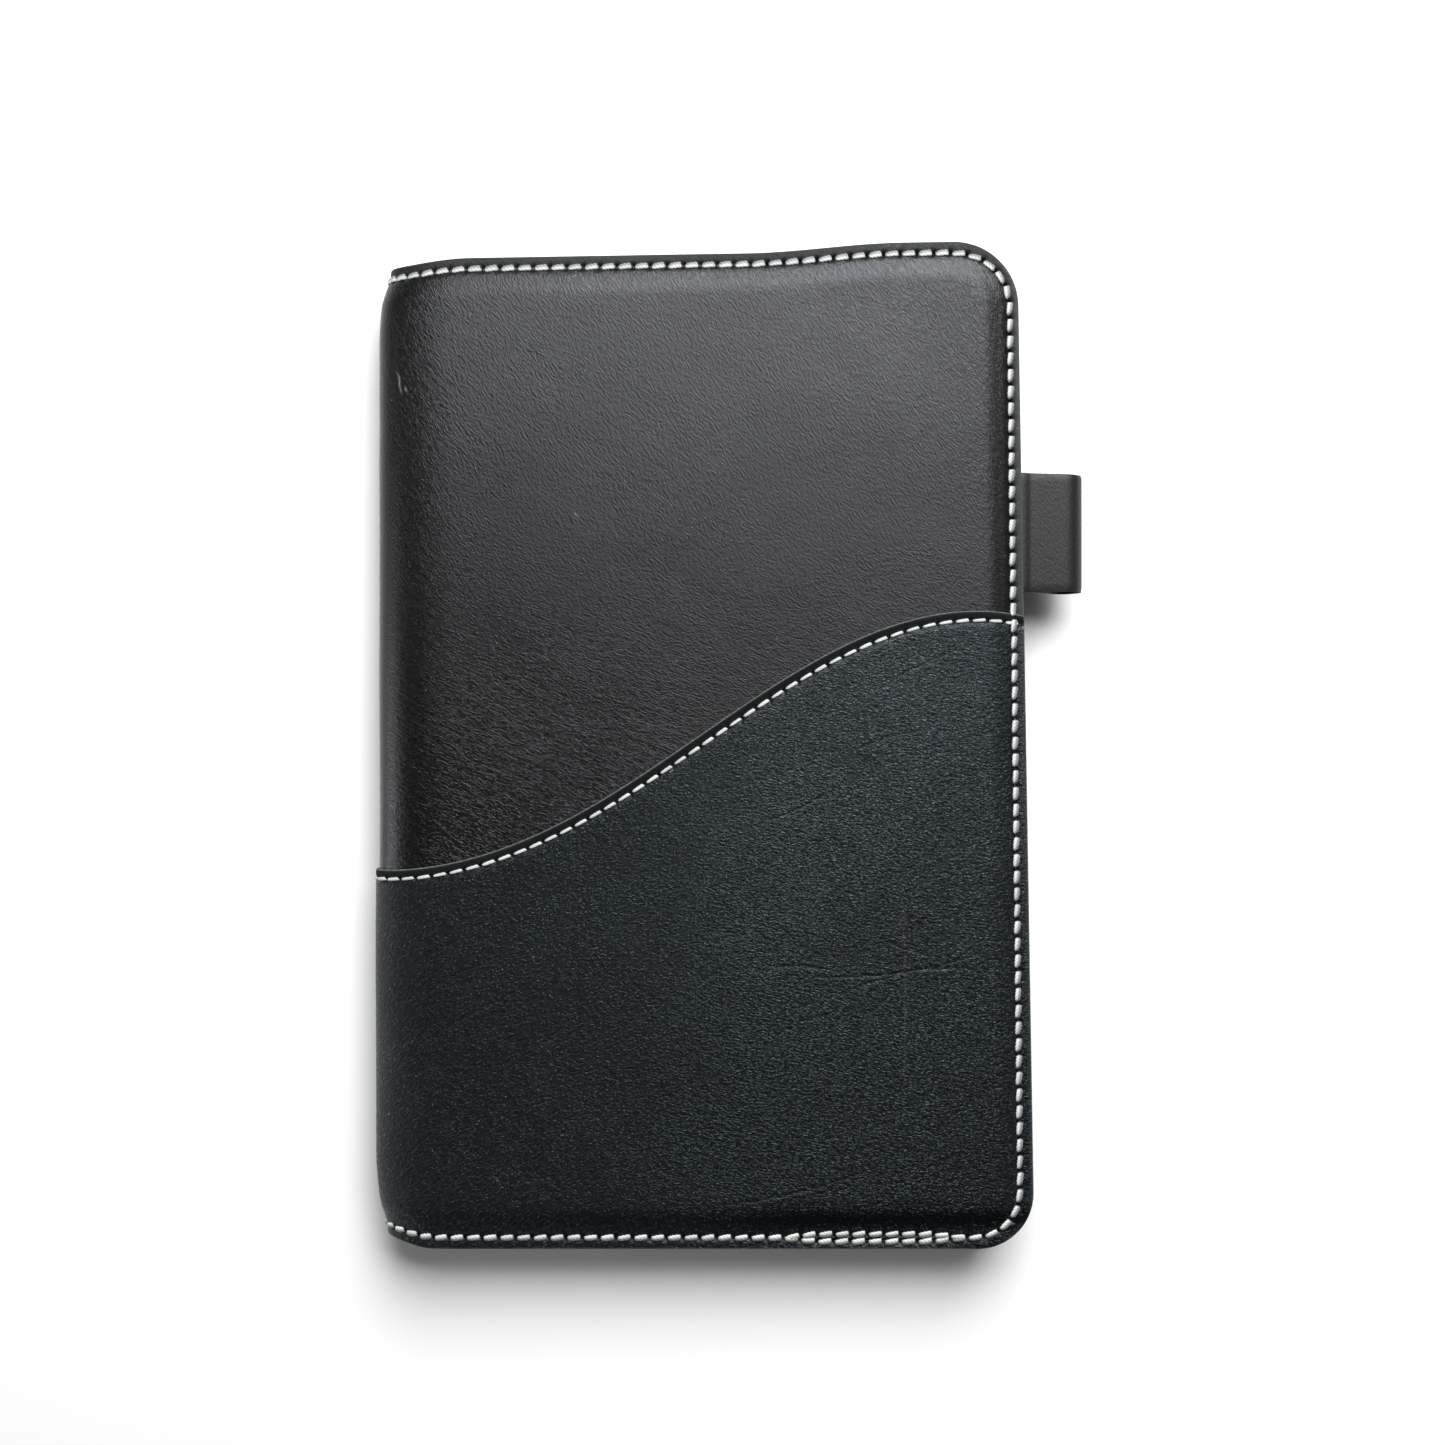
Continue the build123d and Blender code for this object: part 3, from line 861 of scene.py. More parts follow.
def wave(s):
    """The height of the lower panel's cut edge: one long S from the spine up to the fore edge."""
    share = np.clip((across(s) - spine_x) / WAVE_RUN, 0, 1.2)
    return WAVE_LOW + (WAVE_HIGH - WAVE_LOW) * (1 - np.cos(math.pi * share**WAVE_SKEW)) / 2


def wave_line(drop):
    """The line that runs a given drop below the panel's edge, from the spine to the fore edge."""
    s = np.linspace(0, along_at(edge_x) + 3, 900)
    y = wave(s)
    slope = np.gradient(y, s)
    long = np.hypot(1, slope)
    line = np.column_stack([s + drop * slope / long, y - drop / long])
    start = np.array([[0.0, float(np.interp(0, line[:, 0], line[:, 1]))]])
    line = np.vstack([start, line[line[:, 0] > 0.05]])
    return spaced(line, 0.25)


def below_wave(s, y):
    """How far below the panel's cut edge a place is, square to the edge; negative above it."""
    slope = wave(np.asarray(s) + 0.5) - wave(np.asarray(s) - 0.5)
    return (wave(s) - y) / np.hypot(1, slope)


def squeezed(s, y):
    """How much thinner the leather is where the edge seam draws it down."""
    return 0.25 * (1 - smooth(inset_of(s, y), 1.5, 7.5))


def rolling(s, y, seed, size, height):
    """Slow unevenness of a hide pulled over a board."""
    return np.array([height * noise.noise((a / size, b / size, seed)) for a, b in zip(s, y)])


def arris(distance, radius=0.32):
    """How much the cut rounds off the corner at a distance from the edge."""
    t = np.clip(1 - np.asarray(distance) / radius, 0, 1)
    return radius * (1 - np.sqrt(1 - t * t * 0.98))


def fine_rows(edge_gap=0.62):
    """Rows of points beside the cut edge, close enough to take the shape of each stitch."""
    close = [(inside_half(spaced(edge_line(r), edge_gap), r * 0.8), 0.3 if r < 0.5 else 0.42)
             for r in (0.12, 0.32, 0.7, 1.15, 1.6, 2.05, 2.5, 2.95, 3.4, 3.9, 4.5)]
    wide = [(inside_half(spaced(edge_line(r), 1.0), r - 0.3), 0.7) for r in (5.2, 6.1, 7.1, 8.2, 9.4)]
    return close + wide


BESIDE = (0, -0.22, 0.22, -0.5, 0.5, -0.9, 0.9)


def marks(strokes):
    """Creases and scratches pressed into a face, each (from, to, bow, depth, paleness) in x and y: the
    mesh points that carry them, and a function giving every place its depth and paleness."""
    lines, rows = [], []
    for (x0, y0), (x1, y1), bow, deep, pale in strokes:
        length = math.hypot(x1 - x0, y1 - y0)
        t = np.linspace(0, 1, max(4, int(length / 0.4)))
        nx, ny = (y0 - y1) / length, (x1 - x0) / length
        wander = np.array([0.5 * noise.noise((k * 0.16, x0, y0)) for k in range(len(t))])
        aside = bow * 4 * t * (1 - t) + wander * np.sin(math.pi * t)
        s = np.interp(x0 + (x1 - x0) * t + nx * aside, WRAP_X, ALONG)
        y = y0 + (y1 - y0) * t + ny * aside
        fade = np.sin(math.pi * np.clip(t, 0.02, 0.98)) ** 0.6
        lines += [(a, b, deep * f, pale * f) for a, b, f in zip(s, y, fade)]
        rows += [np.column_stack([s + nx * off, y + ny * off]) for off in BESIDE]
    near = tree_of(lines)

    def pressed_at(s, y):
        deep, pale = np.zeros(len(s)), np.zeros(len(s))
        for n, (a, b) in enumerate(zip(s, y)):
            _, k, away = near.find((a, b, 0))
            if away < 2.0:
                swell = 0.35 * math.exp(-(((away - 0.6) / 0.3) ** 2))
                deep[n] = lines[k][2] * (math.exp(-((away / 0.24) ** 2)) - swell)
                pale[n] = lines[k][3] * math.exp(-((away / 0.2) ** 2))
        return deep, pale

    return np.vstack(rows), pressed_at


def fore_arris(s, y):
    """1 along the very edge of the fore edge, where the cut has worn pale, with a painted highlight on it."""
    return np.exp(-((inset_of(s, y) / 0.28) ** 2)) * smooth(s, along_at(edge_x) - 8, along_at(edge_x) - 4)


def burnished(s, y):
    """1 on the rim outside the stitches, where the dye is rubbed in with the edge."""
    return 1 - smooth(inset_of(s, y), 1.3, 3.1)


def hide_colours(tree, tone, dark, light):
    """A dyed face with its needle holes painted black as painted shade, its scratches pale, and its worn
    arris pale with a painted highlight on it.
    """
    pricked, worn = (node(tree, "ShaderNodeAttribute", attribute_name=label).outputs["Fac"]
                     for label in ("pricked", "worn"))
    place = flat_place(tree)
    dyed = mixed(tree, tone, dark, light)
    fibre = node(tree, "ShaderNodeTexNoise", {"Vector": place, "Scale": 3.0, "Detail": 4.0}).outputs["Fac"]
    pale = maths(tree, "MULTIPLY", worn, ramp(tree, fibre, 0.35, 0.65, 0.35, 1.0))
    # The arris is painted pale: partly the cut fibres, partly a painted highlight; the scratches are pale
    # wear.
    wear_and_painted_light = mixed(tree, pale, dyed, (0.24, 0.25, 0.25, 1))
    flecks = node(tree, "ShaderNodeTexVoronoi", {"Vector": place, "Scale": 0.05},
                  voronoi_dimensions="2D").outputs["Distance"]
    dust = ramp(tree, flecks, 0.006, 0.014, 0.25, 0.0)
    dusted = mixed(tree, dust, wear_and_painted_light, (0.20, 0.19, 0.17, 1))
    # The needle holes are painted near black: painted shade in each hole, over the dark dyed leather.
    return mixed(tree, pricked, dusted, (0.001, 0.001, 0.001, 1))


def two_ways(tree, pebble, lies, share):
    """Grain with one (stretch, turn) on one part of the hide and another on the rest."""
    first, second = (grained(tree, pebble, stretch, turn) for stretch, turn in lies)
    crinkle = node(tree, "ShaderNodeMix", {"Factor": share, 2: first["Crinkle"], 3: second["Crinkle"]})
    pebbles = node(tree, "ShaderNodeMix", {"Factor": share, 2: first["Pebbles"], 3: second["Pebbles"]})
    return crinkle.outputs[0], pebbles.outputs[0], first["Pores"], first["Cloud"]


def reach_of(tree, axis, start, end, uneven):
    """How far a place is from start to end along one axis of the flat leather, with a wavering edge."""
    place = flat_place(tree)
    value = node(tree, "ShaderNodeSeparateXYZ", {"Vector": place}).outputs[axis]
    waver = node(tree, "ShaderNodeTexNoise", {"Vector": place, "Scale": 0.03}).outputs["Fac"]
    return ramp(tree, maths(tree, "MULTIPLY_ADD", waver, uneven, value), start, end)


def upper_leather():
    """Smooth black full-grain leather with a satin face and fine slanting grain."""
    material, tree, shader = new_material("satin_hide")
    toward_head = reach_of(tree, "Y", 0.0, 130.0, 60.0)
    crinkle, pebbles, pores, cloud = two_ways(tree, 0.40, ((0.30, 0.42), (0.30, 0.98)), toward_head)
    tone = ramp(tree, cloud, 0.3, 0.7)
    colour = hide_colours(tree, tone, (0.0028, 0.0023, 0.0021, 1), (0.0052, 0.0049, 0.0051, 1))
    tree.links.new(colour, shader.inputs["Base Color"])
    satin = ramp(tree, crinkle, 0.0, 1.0, 0.37, 0.28)
    patchy = maths(tree, "ADD", satin, ramp(tree, cloud, 0.3, 0.7, 0.03, -0.02))
    spine_side = maths(tree, "SUBTRACT", 1.0, reach_of(tree, "X", 15.0, 95.0, 20.0))
    tail_side = maths(tree, "SUBTRACT", 1.0, reach_of(tree, "Y", -30.0, 60.0, 20.0))
    handled = maths(tree, "MULTIPLY", spine_side, tail_side)
    polished = maths(tree, "MULTIPLY_ADD", handled, -0.11, patchy)
    rim = node(tree, "ShaderNodeAttribute", attribute_name="rim").outputs["Fac"]
    tree.links.new(maths(tree, "MULTIPLY_ADD", rim, 0.22, polished), shader.inputs["Roughness"])
    height = maths(tree, "MULTIPLY_ADD", pebbles, 0.35, crinkle)
    fine = bumped(tree, pores, 0.000006)
    tree.links.new(bumped(tree, height, 0.000037, fine), shader.inputs["Normal"])
    shader.inputs["Specular IOR Level"].default_value = 0.38
    shader.inputs["Specular Tint"].default_value = (0.92, 0.94, 1.0, 1)
    return material


hide_face = upper_leather()
SCRATCHES = [((-74.9, 83.6), (-73.7, 78.6), 0.3, 0.04, 0.9), ((-72.9, 80.2), (-72.2, 79.0), 0.0, 0.03, 0.8),
             ((-34.5, 52.0), (-34.2, 51.6), 0.0, 0.02, 0.8), ((-2.0, 31.0), (-1.0, 27.5), 0.6, 0.03, 0.0)]
scratch_points, scratched = marks(SCRATCHES)


def outer_leather_half(side, name, *nodes):
    """Half of the outer leather. It goes on under the lower panel, out of sight."""
    loop = whole_loop(0.62)
    fine = [(g[below_wave(g[:, 0], g[:, 1]) < 2], room) for g, room in fine_rows()]
    seam = edge_seams[side]
    slits = seam.slit_points()
    slits = slits[below_wave(slits[:, 0], slits[:, 1]) < 2]
    beside = [(inside_half(wave_line(-d), 5), 0.5) for d in (0.15, 0.7, 1.4, 2.4, 3.8)]
    mesh = honeycomb(1.7, (1.0, along_at(edge_x)))
    shown = below_wave(mesh[:, 0], mesh[:, 1]) < 1
    clear = inset_of(mesh[:, 0], mesh[:, 1]) > 10.2
    hidden = mesh[~shown][::3]
    scratches = scratch_points if side > 0 else scratch_points[:0]
    groups = [(loop, 0), (inside_half(slits, 0.2), 0.12), *fine, *beside, (scratches, 0.15),
              (inside_half(mesh[shown & clear], 1), 1.0), (inside_half(hidden, 2.5), 2.0)]
    sheet = cut_sheet(loop, thinned(groups)[len(loop):])
    s, y = sheet[0][:, 0], sheet[0][:, 1]
    sunk, pricked = seam.pressed(s, y)
    under = smooth(below_wave(s, y), -0.1, 0.6)
    dug, pale = scratched(s, y) if side > 0 else (0 * s, 0 * s)

    def face(s, y):
        lie = rolling(s, y, 3.1 * side, 34, 0.16) + rolling(s, y, 8.7 * side, 9, 0.03)
        shown_form = sunk + dug - lie * smooth(inset_of(s, y), 3, 12)
        return PANEL + squeezed(s, y) + arris(inset_of(s, y)) + shown_form * (1 - under)

    # The worn values hold the pale scratches and the pale fore-edge arris, which is partly cut fibres and
    # partly a painted highlight.
    piece = skived_sheet(name, sheet, face, lambda s, y: np.full(len(s), LEATHER_IN), side,
                         [hide_face, dyed_edge],
                         {"pricked": pricked * (1 - under), "rim": burnished(s, y),
                          "worn": np.maximum(pale, 0.5 * fore_arris(s, y))})
    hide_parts(*nodes)
    return folds(piece, side)


outer_leather_half(1, "front_leather_half", "front_outer_leather", "spine_outer_leather")
outer_leather_half(-1, "back_leather_half", "back_outer_leather", "spine_outer_leather")

# ---- The lower panel: a second hide, blue-black and more coarsely grained, laid over the lower half of
# the cover. Its top edge is cut in a wave and left raw, and shows a fine pale line of fibres with a painted
# highlight along it.


def lower_leather():
    """Coarser blue-black leather, its crinkle slanting one way by the spine and lying level beyond, with
    painted shade in a band along the tail.
    """
    material, tree, shader = new_material("coarse_hide")
    toward_fore = reach_of(tree, "X", 20.0, 170.0, 40.0)
    crinkle, pebbles, pores, cloud = two_ways(tree, 0.56, ((0.45, -0.72), (0.5, 0.22)), toward_fore)
    relief = maths(tree, "MULTIPLY", crinkle, ramp(tree, pebbles, 0.0, 0.8, 0.3, 1.0))
    tone = maths(tree, "MULTIPLY", ramp(tree, cloud, 0.28, 0.72, 0.2, 1.0), ramp(tree, relief, 0.1, 0.8))
    hide = hide_colours(tree, tone, (0.0015, 0.0018, 0.0021, 1), (0.0135, 0.0165, 0.0185, 1))
    border, tail_shade_band, pale_edge = (node(tree, "ShaderNodeAttribute", attribute_name=label).outputs["Fac"]
                                for label in ("border", "tail_shade_band", "worn"))
    # The band below the wave edge is painted darker, and so is the band along the tail, which is painted
    # shade; the pale edge line stays pale.
    rim_and_painted_shade = maths(tree, "MAXIMUM", border, tail_shade_band)
    rim_and_shade_share = maths(tree, "MULTIPLY", rim_and_painted_shade, maths(tree, "SUBTRACT", 1.0, pale_edge))
    tree.links.new(mixed(tree, rim_and_shade_share, hide, (0.0016, 0.0016, 0.0018, 1)), shader.inputs["Base Color"])
    worn = ramp(tree, relief, 0.05, 0.75, 0.44, 0.20)
    uneven = maths(tree, "ADD", worn, ramp(tree, cloud, 0.3, 0.7, 0.04, -0.03))
    patchy = maths(tree, "ADD", uneven, ramp(tree, toward_fore, 0.0, 1.0, 0.06, -0.04))
    packed = maths(tree, "MULTIPLY_ADD", tail_shade_band, -0.16, patchy)
    tree.links.new(maths(tree, "MAXIMUM", packed, border), shader.inputs["Roughness"])
    fine = bumped(tree, pores, 0.000006)
    deeper = maths(tree, "MULTIPLY", relief, ramp(tree, toward_fore, 0.0, 1.0, 1.25, 0.8))
    height = maths(tree, "MULTIPLY", deeper, maths(tree, "MULTIPLY_ADD", tail_shade_band, -0.6, 1.0))
    tree.links.new(bumped(tree, height, 0.00013, fine), shader.inputs["Normal"])
    shader.inputs["Specular IOR Level"].default_value = 0.32
    shader.inputs["Specular Tint"].default_value = (0.80, 0.93, 1.0, 1)
    return material


coarse_face = lower_leather()
fibre_edge = raw_edge("raw_fibre_edge", (0.010, 0.011, 0.012, 1), (0.16, 0.17, 0.18, 1))
wave_seam_line = wave_line(WAVE_INSET)
wave_seam_line = wave_seam_line[inset_of(wave_seam_line[:, 0], wave_seam_line[:, 1]) > 0.9]
WAVE_PITCH = 3.75
wave_seam = Seam(wave_seam_line, WAVE_PITCH, AWL_LEAN * 0.8)
WRINKLES = [((-4, -102), (33, -93), -1.6, 0.10, 0.0), ((19, -51), (58, -45), -2.2, 0.13, 0.0),
            ((22, -56), (54, -49), 1.8, 0.11, 0.0), ((8, -49), (24, -50), 0.6, 0.08, 0.0),
            ((10, -64), (21, -60), 0.4, 0.08, 0.0), ((-44, -67), (-36, -61), -0.6, 0.12, 0.0),
            ((-69, -67), (-50, -56), 0.9, 0.09, 0.0), ((-72, -48), (-55, -39), -1.0, 0.08, 0.0),
            ((-70, -57), (-55, -48), 0.7, 0.08, 0.0), ((-52, -70), (-44, -67), 0.4, 0.06, 0.0),
            ((30, -41), (47, -47), -0.8, 0.07, 0.0), ((32, 12), (52, 22), 0.8, 0.07, 0.0),
            ((4, -18), (26, -8), -0.8, 0.08, 0.0), ((24, -2), (44, 4), 0.6, 0.06, 0.0),
            ((38, -30), (38.5, -77), 0.5, 0.05, 0.14), ((-4.4, -18), (-3.7, -19.6), 0.0, 0.07, 0.2),
            ((-3.4, -18), (-2.7, -19.3), 0.0, 0.07, 0.2), ((42, 20), (44.6, 18), 0.2, 0.05, 0.25),
            ((-52, -96), (-51.4, -96.5), 0.0, 0.03, 0.5)]
hand = random.Random(5)
BACK_WRINKLES = []
for _ in range(14):
    at_x, at_y = hand.uniform(-66, 40), hand.uniform(-98, -36)
    BACK_WRINKLES.append(((at_x, at_y), (at_x + hand.uniform(8, 20), at_y + hand.uniform(-5, 8)),
                          hand.uniform(-1.5, 1.5), hand.uniform(0.05, 0.11), 0.0))
wrinkles = {1: marks(WRINKLES), -1: marks(BACK_WRINKLES)}


def lower_panel_half(side, name, *nodes):
    """Half of the lower panel, from the middle of the spine to the fore edge."""
    cut = spaced(edge_line(0.0), 0.62)
    low = cut[below_wave(cut[:, 0], cut[:, 1]) > 0.3]
    crest = spaced(wave_line(0.0), 0.62)
    crest = crest[inset_of(crest[:, 0], crest[:, 1]) > 0.3]
    middle = spaced(np.array([low[-1], crest[0]]), 1.2)[1:-1]
    loop = np.vstack([crest, low, middle])
    fine = [(g[below_wave(g[:, 0], g[:, 1]) > 0.3], room) for g, room in fine_rows()]
    rows = [(inside_half(spaced(wave_line(d), 0.62), 0.3), 0.3 if d < 0.5 else 0.42)
            for d in (0.12, 0.32, 0.7, 1.15, 1.6, 2.1, 2.6, 3.1, 3.7, 4.4, 5.4, 6.6)]
    seams = [edge_seams[side], wave_seam] + ([doubled_seam] if side > 0 else [])
    slits = np.vstack([seam.slit_points() for seam in seams])
    slits = slits[below_wave(slits[:, 0], slits[:, 1]) > 0.3]
    mesh = honeycomb(1.5, (1.0, along_at(edge_x)))
    mesh = mesh[(below_wave(mesh[:, 0], mesh[:, 1]) > 7.5) & (inset_of(mesh[:, 0], mesh[:, 1]) > 10.2)]
    creased, wrinkled = wrinkles[side]
    groups = [(loop, 0), (inside_half(slits, 0.3), 0.12), *rows, *fine, (inside_half(creased, 5), 0.15),
              (inside_half(mesh, 1), 0.9)]
    sheet = cut_sheet(loop, thinned(groups)[len(loop):])
    s, y = sheet[0][:, 0], sheet[0][:, 1]
    sunk, pricked = np.max([seam.pressed(s, y) for seam in seams], axis=0)
    creasing, pale = wrinkled(s, y)

    # The pale line along the fore-edge arris and the wave edge: partly cut fibres, partly a painted
    # highlight.
    pale_arris_line = np.maximum(0.5 * fore_arris(s, y), np.exp(-((below_wave(s, y) / 0.26) ** 2)))
    # A band along the tail about 6 mm inside the cut edge, stronger towards the fore edge: painted shade on
    # the leather there, also used for a shallow trough and a smoother finish in the band.
    tail_shade_band = 0.9 * np.exp(-(((y + half_height - 6.0) / 2.2) ** 2)) * (0.45 + 0.55 * smooth(across(s), -10, 20))

    def face(s, y):
        inward = np.minimum(inset_of(s, y), below_wave(s, y))
        lie = rolling(s, y, 5.3 * side, 30, 0.16) + rolling(s, y, 1.9 * side, 6, 0.05)
        trough = 0.22 * tail_shade_band * smooth(inset_of(s, y), 3.4, 4.6)
        form = sunk + creasing + trough - lie * smooth(inward, 3, 10)
        return squeezed(s, y) + arris(inward) + form

    piece = skived_sheet(name, sheet, face, lambda s, y: np.full(len(s), PANEL), side,
                         [coarse_face, fibre_edge],
                         {"pricked": pricked, "worn": np.maximum(pale, pale_arris_line),
                          "border": 1 - smooth(below_wave(s, y), 1.2, 2.6), "tail_shade_band": tail_shade_band})
    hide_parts(*nodes)
    return folds(piece, side)


lower_panel_half(1, "front_panel_half", "front_lower_panel", "spine_lower_panel")
lower_panel_half(-1, "back_panel_half", "back_lower_panel", "spine_lower_panel")

# ---- The stitching: thick waxed thread of three twisted plies, nearly white, sewn by hand with an awl.
# Every stitch dives into its holes. The edge row goes through all the layers of a cover, and the wave row
# only holds the panel.
RINGS, AROUND = 15, 14
PLIES = 3


def thread_look():
    """White waxed thread: fine fibres along each ply, and painted shade in the hollows between plies and on
    the outer flank of each stitch.
    """
    material, tree, shader = new_material("waxed_thread")
    thread_shade = node(tree, "ShaderNodeAttribute", attribute_name="thread_shade").outputs["Fac"]
    place = node(tree, "ShaderNodeTexCoord").outputs["Object"]
    fibre = node(tree, "ShaderNodeTexNoise", {"Vector": place, "Scale": 4200.0, "Detail": 3.0}).outputs["Fac"]
    soil = node(tree, "ShaderNodeTexNoise", {"Vector": place, "Scale": 160.0, "Detail": 2.0}).outputs["Fac"]
    clean = mixed(tree, ramp(tree, soil, 0.35, 0.75), (0.72, 0.72, 0.70, 1), (0.56, 0.57, 0.56, 1))
    # Painted shade: the thread is painted teal-grey in the hollows between its plies and on the outer flank
    # of each stitch.
    tone = maths(tree, "MULTIPLY", thread_shade, ramp(tree, fibre, 0.3, 0.7, 0.8, 1.0))
    tree.links.new(mixed(tree, tone, clean, (0.10, 0.125, 0.13, 1)), shader.inputs["Base Color"])
    tree.links.new(bumped(tree, fibre, 0.00006), shader.inputs["Normal"])
    shader.inputs["Roughness"].default_value = 0.55
    shader.inputs["Specular IOR Level"].default_value = 0.4
    return material


thread = thread_look()


def stitch_rings(start, end, width, thick, lean, wear_and_painted_light):
    """One stitch as rings of (s, y, height over the leather), with how grey each point is: painted shade in
    the hollows between the plies and on its outer side. It is drawn to a point at its lower
    left end, and blunt at the other."""
    t = np.linspace(0, 1, RINGS)
    run = end - start
    length = np.linalg.norm(run)
    ahead = run / length
    across_it = np.array([-ahead[1], ahead[0]])
    up_right = (ahead[0] + ahead[1]) * 1.4
    pull = max(-1.0, min(1.0, up_right))
    tilt = np.array([1.0, 1.0]) - (ahead[0] + ahead[1]) * ahead
    drawn = t if pull > 0 else 1 - t
    share = 0.04 + 0.92 * t
    middle = start + share[:, None] * run + (pull * (2 * t - 1) * lean)[:, None] * tilt
    blunt = 1 - np.clip((drawn - 0.86) / 0.14, 0, 1) ** 2 * 0.45
    taper = 0.38 + 0.62 * np.sin(np.clip(drawn / 0.5, 0, 1) * math.pi / 2) ** 0.8
    size = taper * blunt
    dive = np.clip(np.maximum(1 - t / 0.17, (t - 0.83) / 0.17), 0, 1)
    height = thick * 0.30 * np.sin(math.pi * t) - 1.15 * dive**1.6
    angle = 2 * math.pi * np.arange(AROUND) / AROUND
    twist = 2 * math.pi * 1.45 * t
    lobes = np.cos(PLIES * (angle[None, :] - twist[:, None]))
    radius = 1 + 0.10 * lobes
    aside = width / 2 * size[:, None] * radius * np.cos(angle)[None, :]
    rise = thick / 2 * size[:, None] * radius * np.sin(angle)[None, :]
    flat = middle[:, None, :] + aside[:, :, None] * across_it[None, None, :]
    # Painted shade on the outer flank and in the hollows between the plies.
    outward = smooth(math.copysign(1, wear_and_painted_light) * np.cos(angle), -0.5, 0.4)[None, :]
    grey = 0.5 * np.clip(-lobes, 0, 1) ** 1.5 + abs(wear_and_painted_light) * outward
    return flat[:, :, 0], flat[:, :, 1], height[:, None] + rise, np.clip(grey, 0, 1)


def sew(name, stitches, surface, side, face_out=1):
    """A piece from many stitches on a surface depth(s, y). face_out is -1 on an inner face."""
    verts, faces, thread_shades = [], [], []
    for s, y, height, thread_shade in stitches:
        first = len(verts) * RINGS * AROUND
        flat_s, flat_y = s.ravel(), y.ravel()
        depth = surface(flat_s, flat_y) - face_out * height.ravel()
        verts.append(placed(flat_s, flat_y, depth, side))
        thread_shades.append(thread_shade.ravel())
        flip = side * face_out < 0
        for k in range(RINGS - 1):
            for a in range(AROUND):
                b = (a + 1) % AROUND
                quad = [first + k * AROUND + a, first + (k + 1) * AROUND + a,
                        first + (k + 1) * AROUND + b, first + k * AROUND + b]
                faces.append(quad[::-1] if flip else quad)
        caps = [[first + a for a in range(AROUND)],
                [first + (RINGS - 1) * AROUND + a for a in reversed(range(AROUND))]]
        faces += [c[::-1] for c in caps] if flip else caps
    piece = finished(name, np.vstack(verts), faces, ([thread], [0] * len(faces)), 80)
    # The stitches carry their painted shade as a point attribute.
    held = piece.data.attributes.new("thread_shade", "FLOAT", "POINT")
    held.data.foreach_set("value", np.concatenate(thread_shades).astype(np.float32))
    return piece


def row_stitches(seam, width, thick, lean, wear_and_painted_light):
    """Every stitch of a seam, each a little different in width."""
    made = []
    hand = random.Random(11)
    for k in range(seam.count):
        size = width * hand.uniform(0.92, 1.06)
        turn = lean * hand.uniform(0.7, 1.3)
        made.append(stitch_rings(seam.holes[k], seam.holes[k + 1], size, thick, turn, wear_and_painted_light))
    return made


# width, thickness, lean and painted shade of a stitch; the shade is painted on the flank left of the way it
# is sewn, or on the right when negative
EDGE_THREAD = (1.38, 0.75, 0.22, 0.9)
DOUBLED_THREAD = (1.38, 0.75, 0.22, -0.9)
WAVE_THREAD = (0.74, 0.55, 0.10, 0.2)


def upper_face(s, y):
    """The outer face that the edge row lies on: the lower panel, or the leather above it."""
    return PANEL * smooth(-below_wave(s, y), -0.2, 0.5) + 0.37


def panel_face(s, y):
    """The lower panel's face, in the line that the stitches press."""
    return 0.12 + squeezed(s, y)


def inner_face(side):
    """The lining's inner face near the spine, and the sleeve's beyond its mouth."""
    depth = sleeve_depth if side > 0 else plain_sleeve_depth
    mouth = along_at(MOUTH_X)
    return lambda s, y: np.where(s > mouth, depth(s, y) + SLEEVE, LINING_IN) - 0.05


for side, word in ((1, "front"), (-1, "back")):
    seam = edge_seams[side]
    rows = row_stitches(seam, *EDGE_THREAD)
    outer_row = sew(f"{word}_edge_stitches", rows, upper_face, side)
    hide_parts(f"{word}_edge_thread", "spine_edge_thread")
    folds(outer_row, side)
    inner_row = sew(f"{word}_inner_stitches", rows, inner_face(side), side, -1)
    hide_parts(f"{word}_inner_thread")
    folds(inner_row, side)
    wave_row = sew(f"{word}_wave_stitches", row_stitches(wave_seam, *WAVE_THREAD), panel_face, side)
    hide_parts(f"{word}_panel_thread", "spine_panel_thread")
    folds(wave_row, side)

backtack = sew("doubled_stitches", row_stitches(doubled_seam, *DOUBLED_THREAD), panel_face, 1)
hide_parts("front_backtack_thread")
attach(backtack, "front_cover")

# ---- The pen loop: a strap of the smooth leather folded round, its two tails caught in the fore-edge
# seam between lining and sleeve. It stands out flat beside the cover.
LOOP_THICK = 0.8
LOOP_SLANT = 0.45        # the head side of the strap is cut slightly out of square
LOOP_BULGE = 1.1         # the empty loop springs out this much further
LOOP_DIP = 0.45          # and dips where it leaves the seam


